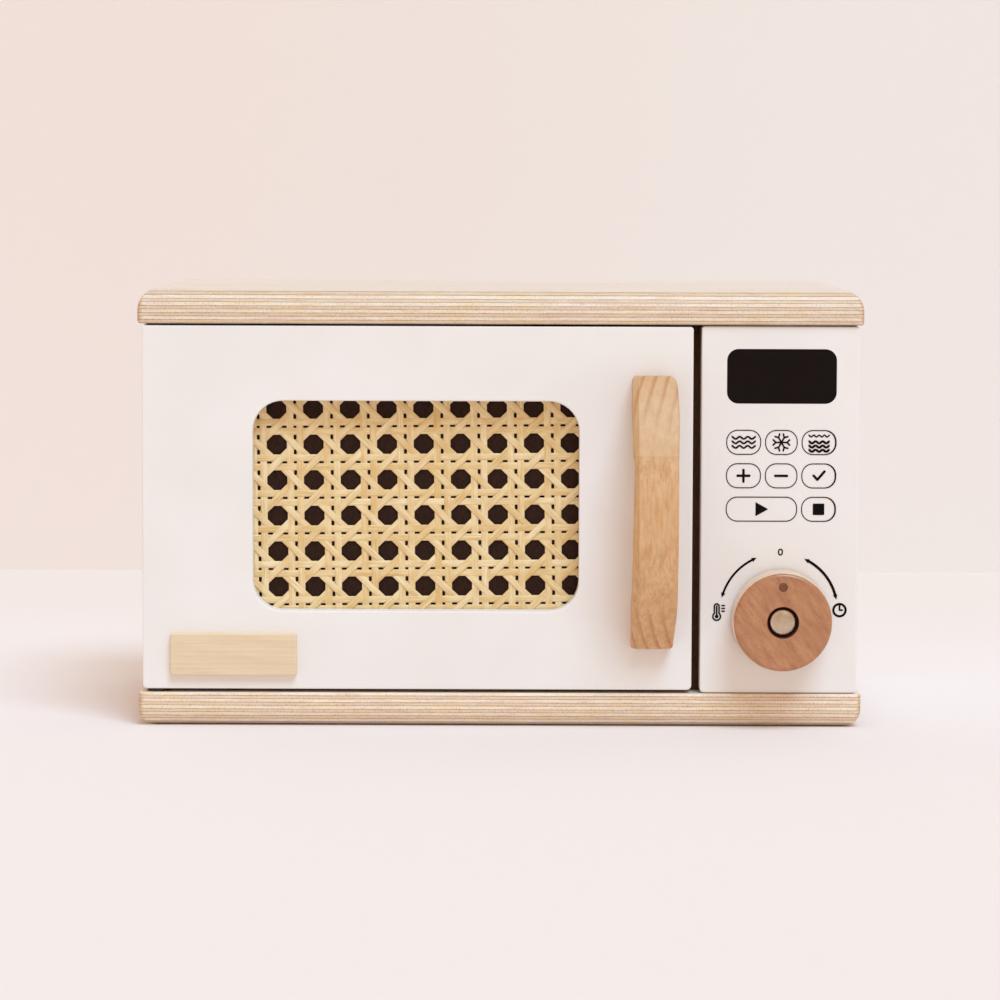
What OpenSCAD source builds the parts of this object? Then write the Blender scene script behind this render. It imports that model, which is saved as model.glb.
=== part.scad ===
// Toy microwave oven of birch plywood and white painted board, with a woven cane window in its door.
// Millimetres. X runs to the right, Y to the back and Z up, from the middle of the base board's underside.

/* [Boards] */
// Width of the base board and the top board
board_w = 310; // [270:1:350]
// Depth of both boards, front to back
board_d = 170; // [165:1:210]
// Thickness of the top board
top_t = 15; // [13:0.5:18]
// Thickness of the base board
base_t = 14.5; // [13:0.5:18]
// Radius of the rounded-over outer edge of each board
board_edge_r = 8; // [4:0.5:10]
// Radius of the boards' corners seen from above
board_corner_r = 3; // [2:0.5:10]

/* [Carcass] */
// Height between the base board and the top board
body_h = 158; // [150:1:190]
// How far the boards stand out past the side walls
board_overhang = 2; // [1:0.25:3.5]
// Thickness of the two side walls
wall_t = 9; // [8:0.5:12]
// Thickness of the divider between oven and controls
divider_t = 15; // [13:0.5:18]
// How far the divider reaches behind the door's closing edge
divider_lap = 4; // [2:0.5:6]
// Thickness of the back panel
back_t = 4; // [3:0.5:6]
// How far the back panel lies in from the boards' rear edge
back_inset = 4; // [3:0.5:8]
// Free space round the back panel
back_clearance = 0.2; // [0.1:0.1:0.5]

/* [Door] */
// Thickness of the door
door_t = 12; // [11:0.5:14]
// How far the door's face lies behind the boards' front edge
door_set = 0.5; // [0:0.25:2]
// Gap above the door
door_gap_top = 0.8; // [0.5:0.1:1.5]
// Gap below the door
door_gap_base = 1.5; // [1:0.1:2.5]
// Gap between the door and the control panel
door_gap_side = 3.6; // [2.5:0.1:5]
// Radius of the door's corners seen from the front
door_corner_r = 1.75; // [1:0.25:5]
// Radius on the door's upright front edge beside the hinge
door_edge_r = 1.2; // [0.5:0.1:2]
// Free space between the swinging hinge edge and the left wall
hinge_clearance = 0.5; // [0.3:0.1:1.5]

/* [Window] */
// Height of the window
window_h = 90; // [80:0.5:96]
// Radius of the window's corners
window_r = 13; // [6:0.5:20]
// From the door's hinge edge to the window
window_from_hinge = 47.2; // [40:0.1:60]
// From the window to the handle
window_to_handle = 22.4; // [18:0.1:40]
// From the door's lower edge to the window
window_from_below = 33.7; // [28:0.1:38]
// How deep the webbing lies behind the door's face
webbing_depth = 9; // [7:0.25:9.5]
// How far the webbing reaches behind the frame all round
webbing_lap = 7; // [5:0.5:9]
// Thickness of the woven webbing
webbing_t = 1.4; // [1:0.1:1.6]
// Radius of the webbing's corners
webbing_r = 2; // [1:0.5:6]
// Free space round the webbing in its rebate
webbing_clearance = 0.2; // [0.1:0.1:0.5]

/* [Cane weave] */
// Spacing of the eight-sided holes across the window
cane_pitch_x = 15.73; // [15.2:0.01:16.2]
// Spacing of the eight-sided holes up the window
cane_pitch_z = 15.3; // [15.1:0.01:15.6]
// Size of each hole from flat to flat
cane_hole = 8.1; // [7:0.1:9]
// Length of the slits between paired strands
cane_slit = 1.5; // [0.8:0.1:1.8]
// Width of the slits between paired strands
cane_slit_w = 0.5; // [0.3:0.1:0.8]
// How far a slit's middle lies from the line between two holes
cane_slit_out = 3.1; // [2.8:0.1:3.4]
// From the window's left edge to the first column of holes
cane_first_x = 10.1; // [9:0.1:11]
// From the window's lower edge to the first row of holes
cane_first_z = 9.8; // [9:0.1:11]

/* [Handle] */
// Width of the handle
handle_w = 19.5; // [16:0.5:24]
// Length of the handle
handle_l = 116.5; // [112:0.5:122]
// How far the handle's bow reaches out from the door
handle_reach = 32; // [28:0.5:38]
// Thickness of the handle at its two ends
handle_end_t = 7.5; // [4:0.5:9]
// Length of the finger gap along the door
finger_gap_l = 76; // [70:0.5:80]
// Depth of the finger gap
finger_gap_d = 21; // [17:0.5:23]
// Radius of the handle's four corners seen from the front
handle_corner_r = 1.75; // [1:0.25:4]
// From the door's closing edge to the handle
handle_from_edge = 6.6; // [5:0.1:10]
// From the door's lower edge to the handle
handle_from_below = 18.4; // [14:0.1:20]

/* [Plaque] */
// Width of the bare plaque
plaque_w = 54.2; // [40:0.1:70]
// Height of the plaque
plaque_h = 18.1; // [14:0.1:22]
// Thickness of the plaque
plaque_t = 3; // [2:0.25:4]
// Radius of the plaque's corners
plaque_r = 1.2; // [0.5:0.1:3]
// From the door's hinge edge to the plaque
plaque_from_hinge = 12; // [8:0.1:20]
// From the door's lower edge to the plaque
plaque_from_below = 6; // [3:0.1:9]

/* [Control panel] */
// Width of the control panel
panel_w = 67.2; // [66:0.1:74]
// Thickness of the control panel
panel_t = 12; // [11:0.5:14]
// How far the panel's face lies behind the boards' front edge
panel_set = 1.5; // [0.5:0.25:3]
// Radius of the panel's corners seen from the front
panel_corner_r = 1.5; // [1:0.25:4]
// Gap above the control panel
panel_gap_top = 0.4; // [0.2:0.1:1]
// Gap below the control panel
panel_gap_base = 0.3; // [0.2:0.1:1]
// How far the controls' centre line lies right of the panel's middle
controls_shift = 0.6; // [-0.8:0.1:0.8]
// Width of the display
display_w = 46.8; // [40:0.1:52]
// Height of the display
display_h = 23.3; // [18:0.1:26]
// Radius of the display's corners
display_r = 4.9; // [2:0.1:8]
// Thickness of the display plate
display_t = 1.2; // [0.8:0.1:2]
// From the panel's upper edge to the display's middle
display_from_top = 21.8; // [18:0.1:23]

/* [Printed buttons] */
// Width of an outer button
button_w = 14.9; // [13:0.1:15.5]
// Width of a middle button
button_mid_w = 13.9; // [12:0.1:14.5]
// Height of the buttons
button_h = 10.7; // [9.8:0.1:12]
// Radius of the buttons' corners
button_r = 4.9; // [3:0.1:4.9]
// Spacing of the three columns
button_pitch_x = 16.1; // [15.9:0.1:17]
// Spacing of the three rows
button_pitch_z = 14.3; // [13.5:0.1:14.6]
// From the display's middle down to the first row
button_drop = 28.2; // [26:0.1:29]
// Width of the printed outlines
button_line = 0.4; // [0.2:0.05:0.6]
// Width of the strokes in the larger symbols
mark_line = 1.05; // [0.5:0.05:1.2]
// Thickness of the ink
ink_t = 0.15; // [0.1:0.05:0.3]

/* [Dial] */
// Diameter of the dial knob
dial_d = 42; // [36:0.5:44]
// Thickness of the dial knob
dial_t = 19; // [16:0.5:24]
// Radius of the knob's front edge
dial_edge_r = 1.25; // [1:0.25:4]
// From the panel's lower edge to the dial's axis
dial_from_below = 32.7; // [30:0.1:35]
// Diameter of the recess in the knob's face
hub_d = 13.2; // [12:0.1:15]
// Depth of the recess in the knob's face
hub_depth = 4.5; // [4:0.25:9]
// Diameter of the steel axle
axle_d = 6; // [4:0.5:7]
// Diameter of the domed cap and of the rear push nut
cap_d = 10.8; // [9.5:0.1:11.5]
// Height of the domed cap
cap_h = 3.2; // [2.8:0.1:4]
// Middle radius of the two arcs printed beside the dial
arc_r = 24.6; // [24:0.1:26]
// How far the arcs' middle lies above the dial's axis
arc_lift = 3; // [1:0.1:4]
// Diameter of the inlaid marker dot
marker_d = 3.9; // [2:0.1:5]
// From the dial's axis to the marker dot
marker_from_axis = 15.1; // [12:0.1:16]

/* [Turntable] */
// Diameter of the turntable plate
plate_d = 130; // [100:1:135]
// Thickness of the turntable plate
plate_t = 6; // [5.5:0.5:9]
// Width of the plate's raised rim
plate_rim = 5; // [3:0.5:10]
// Depth of the plate's hollow inside the rim
plate_hollow = 1; // [0.5:0.1:1.2]
// Diameter of the turntable pin
pivot_d = 5; // [4:0.5:6]

/* [Fittings] */
// Diameter of the door's steel hinge pins
hinge_pin_d = 4; // [3:0.25:5]
// Width of the ring of each hinge washer
hinge_washer_ring = 2.5; // [1.5:0.25:3]
// How deep a hinge pin sits in its board
hinge_pin_seat = 9; // [6:0.5:10]
// How deep a hinge pin sits in the door
hinge_pin_bite = 14; // [10:0.5:20]
// Diameter of the catch magnet
magnet_d = 8; // [6:0.5:10]
// Thickness of the catch magnet
magnet_t = 3; // [2:0.5:4]
// Air gap between the magnet and the strike plate
catch_gap = 0.3; // [0.2:0.1:0.6]
// Depth of the catch block
catch_deep = 14; // [12:0.5:18]
// Diameter of the long wood screws
screw_d = 4; // [3:0.25:4]
// How deep a base screw bites into its upright
base_screw_bite = 20; // [14:1:26]
// How deep a handle screw bites into the handle
handle_screw_bite = 10; // [7:0.5:11]
// Diameter of the short wood screws
small_screw_d = 3; // [2:0.25:3]
// How deep a back screw bites into its upright
back_screw_bite = 12; // [8:0.5:16]
// How deep a catch screw bites into the divider
catch_screw_bite = 9; // [6:0.5:12]
// Length of the strike plate's screw
strike_screw_l = 9; // [6:0.5:11]
// Diameter of the wooden dowels
dowel_d = 5; // [4:0.5:6]
// Length of the top board's dowels
dowel_l = 22; // [16:1:30]
// How deep such a dowel sits in the top board
dowel_seat = 8; // [5:0.5:8.5]
// Length of the control panel's dowels
panel_dowel_l = 16; // [12:0.5:20]
// How deep such a dowel sits in the control panel
panel_dowel_seat = 7; // [5:0.5:9]

/* [Hidden] */

$fn = 64;
eps = 0.01;

// Fits: a glued or driven piece has press_fit round it, a turning one has run_fit
press_fit = 0.02;
run_fit = 0.05;
washer_fit = 0.2;
// Play between turning faces, and what a blind hole leaves beyond the tip of its pin
play = 0.1;
blind_gap = 0.3;
// How far a cutting shape runs past the face that it opens
cut = 1;

// Outer planes of the whole
front_y = -board_d / 2;
rear_y = board_d / 2;
body_x = board_w / 2 - board_overhang;
floor_z = base_t;
roof_z = base_t + body_h;

// Control panel
panel_x1 = body_x;
panel_x0 = panel_x1 - panel_w;
panel_y = front_y + panel_set;
panel_back_y = panel_y + panel_t;
panel_z0 = floor_z + panel_gap_base;
panel_z1 = roof_z - panel_gap_top;
controls_x = (panel_x0 + panel_x1) / 2 + controls_shift;
display_z = roof_z - display_from_top;
dial_z = floor_z + dial_from_below;

// Door
door_x0 = -body_x;
door_x1 = panel_x0 - door_gap_side;
door_z0 = floor_z + door_gap_base;
door_z1 = roof_z - door_gap_top;
door_y = front_y + door_set;
door_back_y = door_y + door_t;
pin_x = door_x0 + door_t / 2;
pin_y = door_y + door_t / 2;
// The farthest that the rounded front corner reaches from the pins as the door swings
swing_reach = sqrt(2) * (door_t / 2 - door_edge_r) + door_edge_r;

// Carcass
back_y = rear_y - back_inset - back_t;
divider_x0 = door_x1 - divider_lap;
divider_x1 = divider_x0 + divider_t;
left_wall_y = pin_y + swing_reach + hinge_clearance;
// Each upright: its middle and its front
uprights = [
  [-body_x + wall_t / 2, left_wall_y],
  [divider_x0 + divider_t / 2, panel_back_y],
  [body_x - wall_t / 2, panel_back_y]
];
fixing_inset = 24;
function fixing_ys(front) = [front + fixing_inset, back_y - fixing_inset];
base_screw_sink = 3;
base_screw_l = base_t - base_screw_sink + base_screw_bite;
back_screw_l = back_t + back_screw_bite;
back_screw_inset = 18;
pan_head_h = 1.6;
panel_dowel_inset = 10;

// Handle: the bow's two arcs share the handle's middle
handle_x1 = door_x1 - handle_from_edge;
handle_x0 = handle_x1 - handle_w;
handle_z0 = door_z0 + handle_from_below;
handle_z1 = handle_z0 + handle_l;
handle_mid_z = (handle_z0 + handle_z1) / 2;
function arc_radius(chord, rise) = (pow(chord / 2, 2) + rise * rise) / (2 * rise);
bow_r = arc_radius(handle_l, handle_reach - handle_end_t);
gap_r = arc_radius(finger_gap_l, finger_gap_d);
foot_l = (handle_l - finger_gap_l) / 2;
handle_screw_l = door_t + handle_screw_bite;

// Window, between the hinge edge and the handle
window_x0 = door_x0 + window_from_hinge;
window_x1 = handle_x0 - window_to_handle;
window_z0 = door_z0 + window_from_below;
window_z1 = window_z0 + window_h;
rebate_y = door_y + webbing_depth;
backing_t = door_t - webbing_depth - webbing_t;

// Cane weave: as many holes as have their middle or nearly half their width in the window
cane_columns = floor((window_x1 - window_x0 - cane_first_x + cane_hole / 2) / cane_pitch_x) + 1;
cane_rows = floor((window_h - cane_first_z + cane_hole / 2) / cane_pitch_z) + 1;

// Catch
catch_z = (door_z0 + door_z1) / 2;
magnet_wall = 2;
catch_ear = 7;
catch_w = magnet_d + 2 * magnet_wall;
catch_h = magnet_d + 2 * catch_ear;
catch_x = divider_x0 - catch_w / 2;
catch_screw_l = catch_w + catch_screw_bite;
catch_screw_inset = 5;
// The magnet stands out of the block as far as its air gap leaves it
magnet_front_y = door_back_y + catch_gap;
magnet_seat = magnet_front_y + magnet_t - panel_back_y;
strike_t = 1;
strike_margin = 2.5;
strike_d = magnet_d + 2 * strike_margin;

// Dial, along -Y from the panel's face
dial_washer_t = 0.8;
dial_back_y = panel_y - dial_washer_t - play;
dial_face_y = dial_back_y - dial_t;
hub_floor_y = dial_face_y + hub_depth;
cap_play = 0.15;
cap_y = hub_floor_y - cap_play;
cap_skirt = 1.2;
nut_t = 3;
rear_washer_t = 1;
washer_ring = 4.5;
washer_d = axle_d + 2 * washer_ring;
marker_deep = 3;

// Turntable, in the middle of the oven's floor
plate_x = (-body_x + wall_t + divider_x0) / 2;
plate_y = (panel_back_y + back_y) / 2;
plate_washer_t = 1.5;
plate_washer_ring = 6;
plate_z = floor_z + plate_washer_t + play;
pivot_bite = 3.5;
pivot_seat = 8;

birch = "#e9d3b4";
paint = "#efe8e2";
ink = "#1d1513";
beech = "#d2a274";
dial_wood = "#c3875f";
marker_wood = "#8a4a33";
plaque_birch = "#f0dcbd";
cane = "#f1d3a0";
dark_board = "#3a241c";
steel = "#b9b6b0";
nylon = "#e4e0d8";
black_nylon = "#2b2422";

// A rounded rectangle between two corners
module round_rect(x0, y0, x1, y1, r) {
  translate([x0 + r, y0]) square([x1 - x0 - 2 * r, y1 - y0]);
  translate([x0, y0 + r]) square([x1 - x0, y1 - y0 - 2 * r]);
  for (x = [x0 + r, x1 - r], y = [y0 + r, y1 - r]) translate([x, y]) circle(r);
}

// Stands a flat outline, drawn as X and Z, upright between two depths
module upright(y0, y1) {
  translate([0, y1, 0]) rotate([90, 0, 0]) linear_extrude(y1 - y0) children();
}

// A straight round bar that starts at a point and runs along +Y
module bar_y(x, y, z, d, l) {
  translate([x, y, z]) rotate([-90, 0, 0]) cylinder(d = d, h = l);
}

// A board of the given width with its two upper corners rounded over
module board_section(w, t) {
  r = board_edge_r;
  translate([-w / 2, 0]) square([w, t - r]);
  translate([-w / 2 + r, 0]) square([w - 2 * r, t]);
  for (s = [-1, 1]) translate([s * (w / 2 - r), t - r]) circle(r);
}

// A whole board with its upper edge rounded over on all four sides
module board(t) {
  intersection() {
    linear_extrude(t)
      round_rect(-board_w / 2, front_y, board_w / 2, rear_y, board_corner_r);
    translate([0, rear_y, 0]) rotate([90, 0, 0]) linear_extrude(board_d) board_section(board_w, t);
    translate([-board_w / 2, 0, 0]) rotate([90, 0, 90]) linear_extrude(board_w) board_section(board_d, t);
  }
}

// A countersunk screw that runs along +Z from its head, with a cross recess
module csk_screw(d, l) {
  head_h = d / 2;
  recess_w = d / 5;
  difference() {
    union() {
      cylinder(d1 = 2 * d, d2 = d, h = head_h);
      cylinder(d = d, h = l);
    }
    for (a = [0, 90]) rotate(a)
      translate([-d / 2, -recess_w / 2, -eps]) cube([d, recess_w, head_h / 2]);
  }
}

// The hole that such a screw fills, open at its head
module csk_bore(d, l, sink = 0) {
  fit = 2 * press_fit;
  head_h = d / 2;
  translate([0, 0, sink]) cylinder(d1 = 2 * d + fit, d2 = d + fit, h = head_h);
  translate([0, 0, -cut]) cylinder(d = 2 * d + fit, h = cut + sink + eps);
  cylinder(d = d + fit, h = l + sink + blind_gap);
}

// Places the base screws and top dowels: two in each upright
module at_upright_fixings() {
  for (u = uprights, y = fixing_ys(u[1])) translate([u[0], y, 0]) children();
}

// Base screws: two up into each upright, their heads sunk clear of the table
module base_screws() {
  color(steel) at_upright_fixings() translate([0, 0, base_screw_sink]) csk_screw(screw_d, base_screw_l);
}

module base_board() {
  color(birch) difference() {
    translate([0, 0, base_t]) mirror([0, 0, 1]) board(base_t);
    at_upright_fixings() csk_bore(screw_d, base_screw_l, base_screw_sink);
    translate([pin_x, pin_y, base_t - hinge_pin_seat])
      cylinder(d = hinge_pin_d + 2 * run_fit, h = hinge_pin_seat + cut);
    translate([plate_x, plate_y, base_t - pivot_seat])
      cylinder(d = pivot_d + 2 * press_fit, h = pivot_seat + cut);
  }
}

module top_board() {
  color(birch) translate([0, 0, roof_z]) difference() {
    board(top_t);
    at_upright_fixings() translate([0, 0, -cut])
      cylinder(d = dowel_d + 2 * press_fit, h = cut + dowel_seat + blind_gap);
    translate([pin_x, pin_y, -cut])
      cylinder(d = hinge_pin_d + 2 * run_fit, h = cut + hinge_pin_seat);
  }
}

// Dowels in the top board's underside, and the bores for them in the uprights
module top_dowels() {
  color(birch) at_upright_fixings() translate([0, 0, roof_z + dowel_seat - dowel_l])
    cylinder(d = dowel_d, h = dowel_l);
}

module upright_bores() {
  at_upright_fixings() {
    translate([0, 0, roof_z + dowel_seat - dowel_l - blind_gap])
      cylinder(d = dowel_d + 2 * press_fit, h = dowel_l);
    cylinder(d = screw_d + 2 * press_fit, h = base_screw_l + base_screw_sink + blind_gap);
  }
}

// Back panel screws: three in each side wall and two in the divider
back_screw_zs = [floor_z + back_screw_inset, (floor_z + roof_z) / 2, roof_z - back_screw_inset];
back_screw_spots = [
  for (u = uprights, k = [0, 1, 2]) if (k != 1 || u != uprights[1]) [u[0], back_screw_zs[k]]
];

// A screw that runs along +Z behind a low domed head, with a cross recess
module pan_screw(d, l) {
  head_r = 1.3 * d;
  recess_w = d / 5;
  difference() {
    union() {
      translate([0, 0, -pan_head_h]) intersection() {
        cylinder(d = 2.1 * d, h = pan_head_h);
        translate([0, 0, head_r]) sphere(head_r);
      }
      translate([0, 0, -eps]) cylinder(d = d, h = l);
    }
    for (a = [0, 90]) rotate(a)
      translate([-d / 2, -recess_w / 2, -pan_head_h - eps]) cube([d, recess_w, pan_head_h / 2]);
  }
}

module at_back_screws() {
  for (p = back_screw_spots)
    translate([p[0], back_y + back_t, p[1]]) rotate([90, 0, 0]) children();
}

module back_screws() {
  color(steel) at_back_screws() pan_screw(small_screw_d, back_screw_l);
}

module back_screw_bores() {
  at_back_screws() translate([0, 0, -cut])
    cylinder(d = small_screw_d + 2 * press_fit, h = cut + back_screw_l + blind_gap);
}

module wall_block(x0, x1, y0) {
  difference() {
    translate([x0, y0, floor_z]) cube([x1 - x0, back_y - y0, body_h]);
    upright_bores();
    back_screw_bores();
    panel_dowel_bores();
    catch_screw_bores();
  }
}

module left_wall() {
  color(paint) wall_block(-body_x, -body_x + wall_t, left_wall_y);
}

module right_wall() {
  color(paint) wall_block(body_x - wall_t, body_x, panel_back_y);
}

module divider() {
  color(dark_board) wall_block(divider_x0, divider_x1, panel_back_y);
}

module back_panel() {
  c = back_clearance;
  color(birch) difference() {
    translate([-body_x + c, back_y, floor_z + c])
      cube([2 * (body_x - c), back_t, body_h - 2 * c]);
    back_screw_bores();
  }
}

// Panel dowels: two into the divider's front and two into the right wall's front
panel_dowel_xs = [(panel_x0 + divider_x1) / 2, body_x - wall_t / 2];
panel_dowel_zs = [floor_z + panel_dowel_inset, roof_z - panel_dowel_inset];
module at_panel_dowels() {
  for (x = panel_dowel_xs, z = panel_dowel_zs)
    translate([x, panel_back_y - panel_dowel_seat, z]) rotate([-90, 0, 0]) children();
}

module panel_dowels() {
  color(birch) at_panel_dowels() cylinder(d = dowel_d, h = panel_dowel_l);
}

module panel_dowel_bores() {
  at_panel_dowels() translate([0, 0, -blind_gap])
    cylinder(d = dowel_d + 2 * press_fit, h = panel_dowel_l + 2 * blind_gap);
}

module display_outline(c = 0) {
  round_rect(controls_x - display_w / 2 - c, display_z - display_h / 2 - c,
    controls_x + display_w / 2 + c, display_z + display_h / 2 + c, display_r + c);
}

module control_panel() {
  color(paint) difference() {
    upright(panel_y, panel_back_y)
      round_rect(panel_x0, panel_z0, panel_x1, panel_z1, panel_corner_r);
    upright(panel_y - cut, panel_y + display_t) display_outline(press_fit);
    bar_y(controls_x, panel_y - cut, dial_z, axle_d + 2 * press_fit, panel_t + 2 * cut);
    panel_dowel_bores();
  }
}

module display_plate() {
  color(ink) upright(panel_y, panel_y + display_t) display_outline();
}

// Printed marks: everything below is drawn flat, with X and Z measured from its own middle
module stroke(p, q, w) {
  l = norm(q - p);
  translate(p) rotate(atan2(q[1] - p[1], q[0] - p[0])) {
    translate([0, -w / 2]) square([l, w]);
    for (x = [0, l]) translate([x, 0]) circle(d = w, $fn = 16);
  }
}

// A ring of ink, w wide and wider by extra at its right-hand side
module outline_box(x0, z0, x1, z1, r, w, extra = 0) {
  difference() {
    round_rect(x0, z0, x1, z1, r);
    round_rect(x0 + w, z0 + w, x1 - w - extra, z1 - w, r - w);
  }
}

// A wavy line: its two edges follow one sine, half the line's width up and down
module wave(w, periods, rise, line, steps = 8) {
  n = periods * steps;
  function at(i, side) = [
    w * (i / n - 0.5) - side * line / 2 * cos(90 + 360 * i / steps) * 0.5,
    rise * cos(360 * i / steps) + side * line / 2
  ];
  polygon([for (i = [0:n]) at(i, 1), for (i = [n:-1:0]) at(i, -1)]);
}

module mark_waves() {
  spacing = 1.94;
  for (k = [-1:1]) translate([0, k * spacing]) wave(w = 10.4, periods = 3, rise = 0.5, line = 0.75);
}

module mark_snowflake() {
  arm = 2.4;
  twig = 1.1;
  line = 0.7;
  for (a = [0:60:300]) rotate(a) {
    stroke([0, 0], [arm, 0], line);
    for (s = [-1, 1]) stroke([arm, 0], [arm + twig, s * twig], line);
  }
}

module mark_grill() {
  spacing = 1.8;
  wave_w = 9.1;
  translate([0, 2.8]) wave(wave_w, periods = 4, rise = 0.45, line = 0.6, steps = 4);
  for (k = [0:2]) translate([0, 0.1 - k * spacing]) wave(wave_w, periods = 3, rise = 0.42, line = 0.95);
}

bar_reach = 2.5;
module mark_minus() {
  stroke([-bar_reach, 0], [bar_reach, 0], mark_line);
}

module mark_plus() {
  mark_minus();
  rotate(90) mark_minus();
}

module mark_tick() {
  heel = [-0.6, -1.6];
  stroke([-2.2, 0.1], heel, mark_line);
  stroke(heel, [2.4, 1.9], mark_line);
}

module mark_play() {
  polygon([[-2.54, -3.0], [2.86, 0], [-2.54, 3.0]]);
}

module mark_stop() {
  half = 2.45;
  round_rect(-half, -half, half, half, 0.4);
}

module mark_zero() {
  outline_box(-1.05, -1.45, 1.05, 1.45, r = 1, w = 0.55);
}

module thermometer_outline(bulb, tube, tube_l) {
  circle(bulb);
  translate([-tube, 0]) square([2 * tube, tube_l]);
  translate([0, tube_l]) circle(tube);
}

// A ringed bulb and tube with a filled column in it, and three short scale lines beside it
module mark_thermometer() {
  bulb = 1.98;
  tube = 1.35;
  tube_l = 4.4;
  ring = 0.68;
  translate([0, -2.2]) {
    difference() {
      thermometer_outline(bulb, tube, tube_l);
      thermometer_outline(bulb - ring, tube - ring, tube_l);
    }
    thermometer_outline(bulb = 0.8, tube = 0.36, tube_l);
  }
  for (z = [0.1, 1.3, 2.5]) stroke([2.2, z], [3.3, z], w = 0.6);
}

module mark_clock() {
  hand = 0.75;
  difference() {
    circle(3.1);
    circle(2.15);
  }
  stroke([0, 0], [0, 1.8], hand);
  stroke([0, 0], [1.15, 0], hand);
}

// One of the two arcs beside the dial, with an arrowhead at each end; angles are from straight up
module mark_arc(r, from_a, to_a, line) {
  arrow = 1.9;
  overlap = 0.15;
  difference() {
    circle(r + line / 2, $fn = 96);
    circle(r - line / 2, $fn = 96);
    rotate(90 - from_a) translate([-2 * r, 0]) square(4 * r);
    rotate(90 - to_a) translate([-2 * r, -4 * r]) square(4 * r);
  }
  for (end = [[from_a, 1], [to_a, -1]]) rotate(90 - end[0]) translate([r, 0])
    polygon([[-arrow / 2, -overlap * end[1]], [arrow / 2, -overlap * end[1]], [0, arrow * end[1]]]);
}

module button_mark(i) {
  if (i == 0) mark_waves();
  if (i == 1) mark_snowflake();
  if (i == 2) mark_grill();
  if (i == 3) mark_plus();
  if (i == 4) mark_minus();
  if (i == 5) mark_tick();
  if (i == 6) mark_play();
  if (i == 7) mark_stop();
}

// Left edge, right edge and row of each button; the play button takes two columns
left_x = -button_pitch_x - button_w / 2;
buttons = [
  for (row = [0, 1], col = [-1:1])
    let (w = col == 0 ? button_mid_w : button_w)
    [col * button_pitch_x - w / 2, col * button_pitch_x + w / 2, row],
  [left_x, button_mid_w / 2, 2],
  [button_pitch_x - button_w / 2, button_pitch_x + button_w / 2, 2]
];

module panel_print() {
  first_z = display_z - button_drop;
  color(ink) upright(panel_y - ink_t, panel_y) {
    for (i = [0:len(buttons) - 1]) {
      b = buttons[i];
      // The ink runs heavier at the right of the last column
      extra = b[1] > button_pitch_x ? 0.3 : 0;
      translate([controls_x, first_z - button_pitch_z * b[2]]) {
        outline_box(b[0], -button_h / 2, b[1], button_h / 2, button_r, button_line, extra);
        translate([(b[0] + b[1]) / 2, 0]) button_mark(i);
      }
    }
    translate([controls_x, dial_z]) {
      translate([0.5, arc_lift + 0.4]) mark_arc(arc_r - 0.6, 28.5, 74.5, line = 1.15);
      translate([-0.5, arc_lift - 0.5]) mirror([1, 0]) mark_arc(arc_r + 0.6, 27, 71.5, line = 0.9);
      translate([0, arc_r + 3.7]) mark_zero();
      translate([-arc_r - 2.5, 2.7]) mark_thermometer();
      translate([arc_r + 0.9, 3.4]) mark_clock();
    }
  }
}

// Catch: a small block on the divider holds the magnet behind the door
module catch_block() {
  color(birch) difference() {
    translate([divider_x0 - catch_w, panel_back_y, catch_z - catch_h / 2])
      cube([catch_w, catch_deep, catch_h]);
    bar_y(catch_x, panel_back_y - cut, catch_z, magnet_d + 2 * press_fit, magnet_seat + cut);
    catch_screw_bores();
  }
}

module catch_magnet() {
  color(steel) bar_y(catch_x, magnet_front_y, catch_z, magnet_d, magnet_t);
}

module at_catch_screws() {
  for (s = [-1, 1])
    translate([divider_x0 - catch_w, panel_back_y + catch_deep - catch_screw_inset,
      catch_z + s * (catch_h / 2 - catch_screw_inset)]) rotate([0, 90, 0]) children();
}

module catch_screws() {
  color(steel) at_catch_screws() csk_screw(small_screw_d, catch_screw_l);
}

module catch_screw_bores() {
  at_catch_screws() csk_bore(small_screw_d, catch_screw_l);
}

// Dial axle and what holds it: cap in front, push nut behind
module dial_axle() {
  axle_y0 = cap_y - cap_skirt;
  color(steel) bar_y(controls_x, axle_y0, dial_z, axle_d, panel_back_y + rear_washer_t + nut_t - axle_y0);
}

// A round cap with a straight wall, a rounded edge and a slightly domed face, bored blind for the axle
module domed_cap(d, h, bore) {
  rise = 0.5;
  edge_r = 0.8;
  edge_z = h - rise - edge_r;
  r = arc_radius(d - 2 * edge_r, rise);
  difference() {
    union() {
      cylinder(d = d, h = edge_z);
      cylinder(d = d - 2 * edge_r, h = h - rise);
      translate([0, 0, edge_z]) rotate_extrude($fn = 96) translate([d / 2 - edge_r, 0]) circle(edge_r);
      intersection() {
        cylinder(d = d - 2 * edge_r, h = h + cut);
        translate([0, 0, h - r]) sphere(r, $fn = 96);
      }
    }
    translate([0, 0, -cut]) cylinder(d = bore, h = cut + cap_skirt);
  }
}

module dial_cap() {
  color(steel) translate([controls_x, cap_y, dial_z]) rotate([90, 0, 0])
    domed_cap(cap_d, cap_h, axle_d + 2 * press_fit);
}

module dial_push_nut() {
  color(steel) difference() {
    bar_y(controls_x, panel_back_y + rear_washer_t, dial_z, cap_d, nut_t);
    bar_y(controls_x, panel_back_y, dial_z, axle_d + 2 * press_fit, rear_washer_t + nut_t + cut);
  }
}

module dial_washers() {
  color(nylon) difference() {
    union() {
      bar_y(controls_x, panel_y - dial_washer_t, dial_z, washer_d, dial_washer_t);
      bar_y(controls_x, panel_back_y, dial_z, washer_d, rear_washer_t);
    }
    bar_y(controls_x, panel_y - dial_washer_t - cut, dial_z, axle_d + washer_fit,
      panel_t + dial_washer_t + rear_washer_t + 2 * cut);
  }
}

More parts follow.
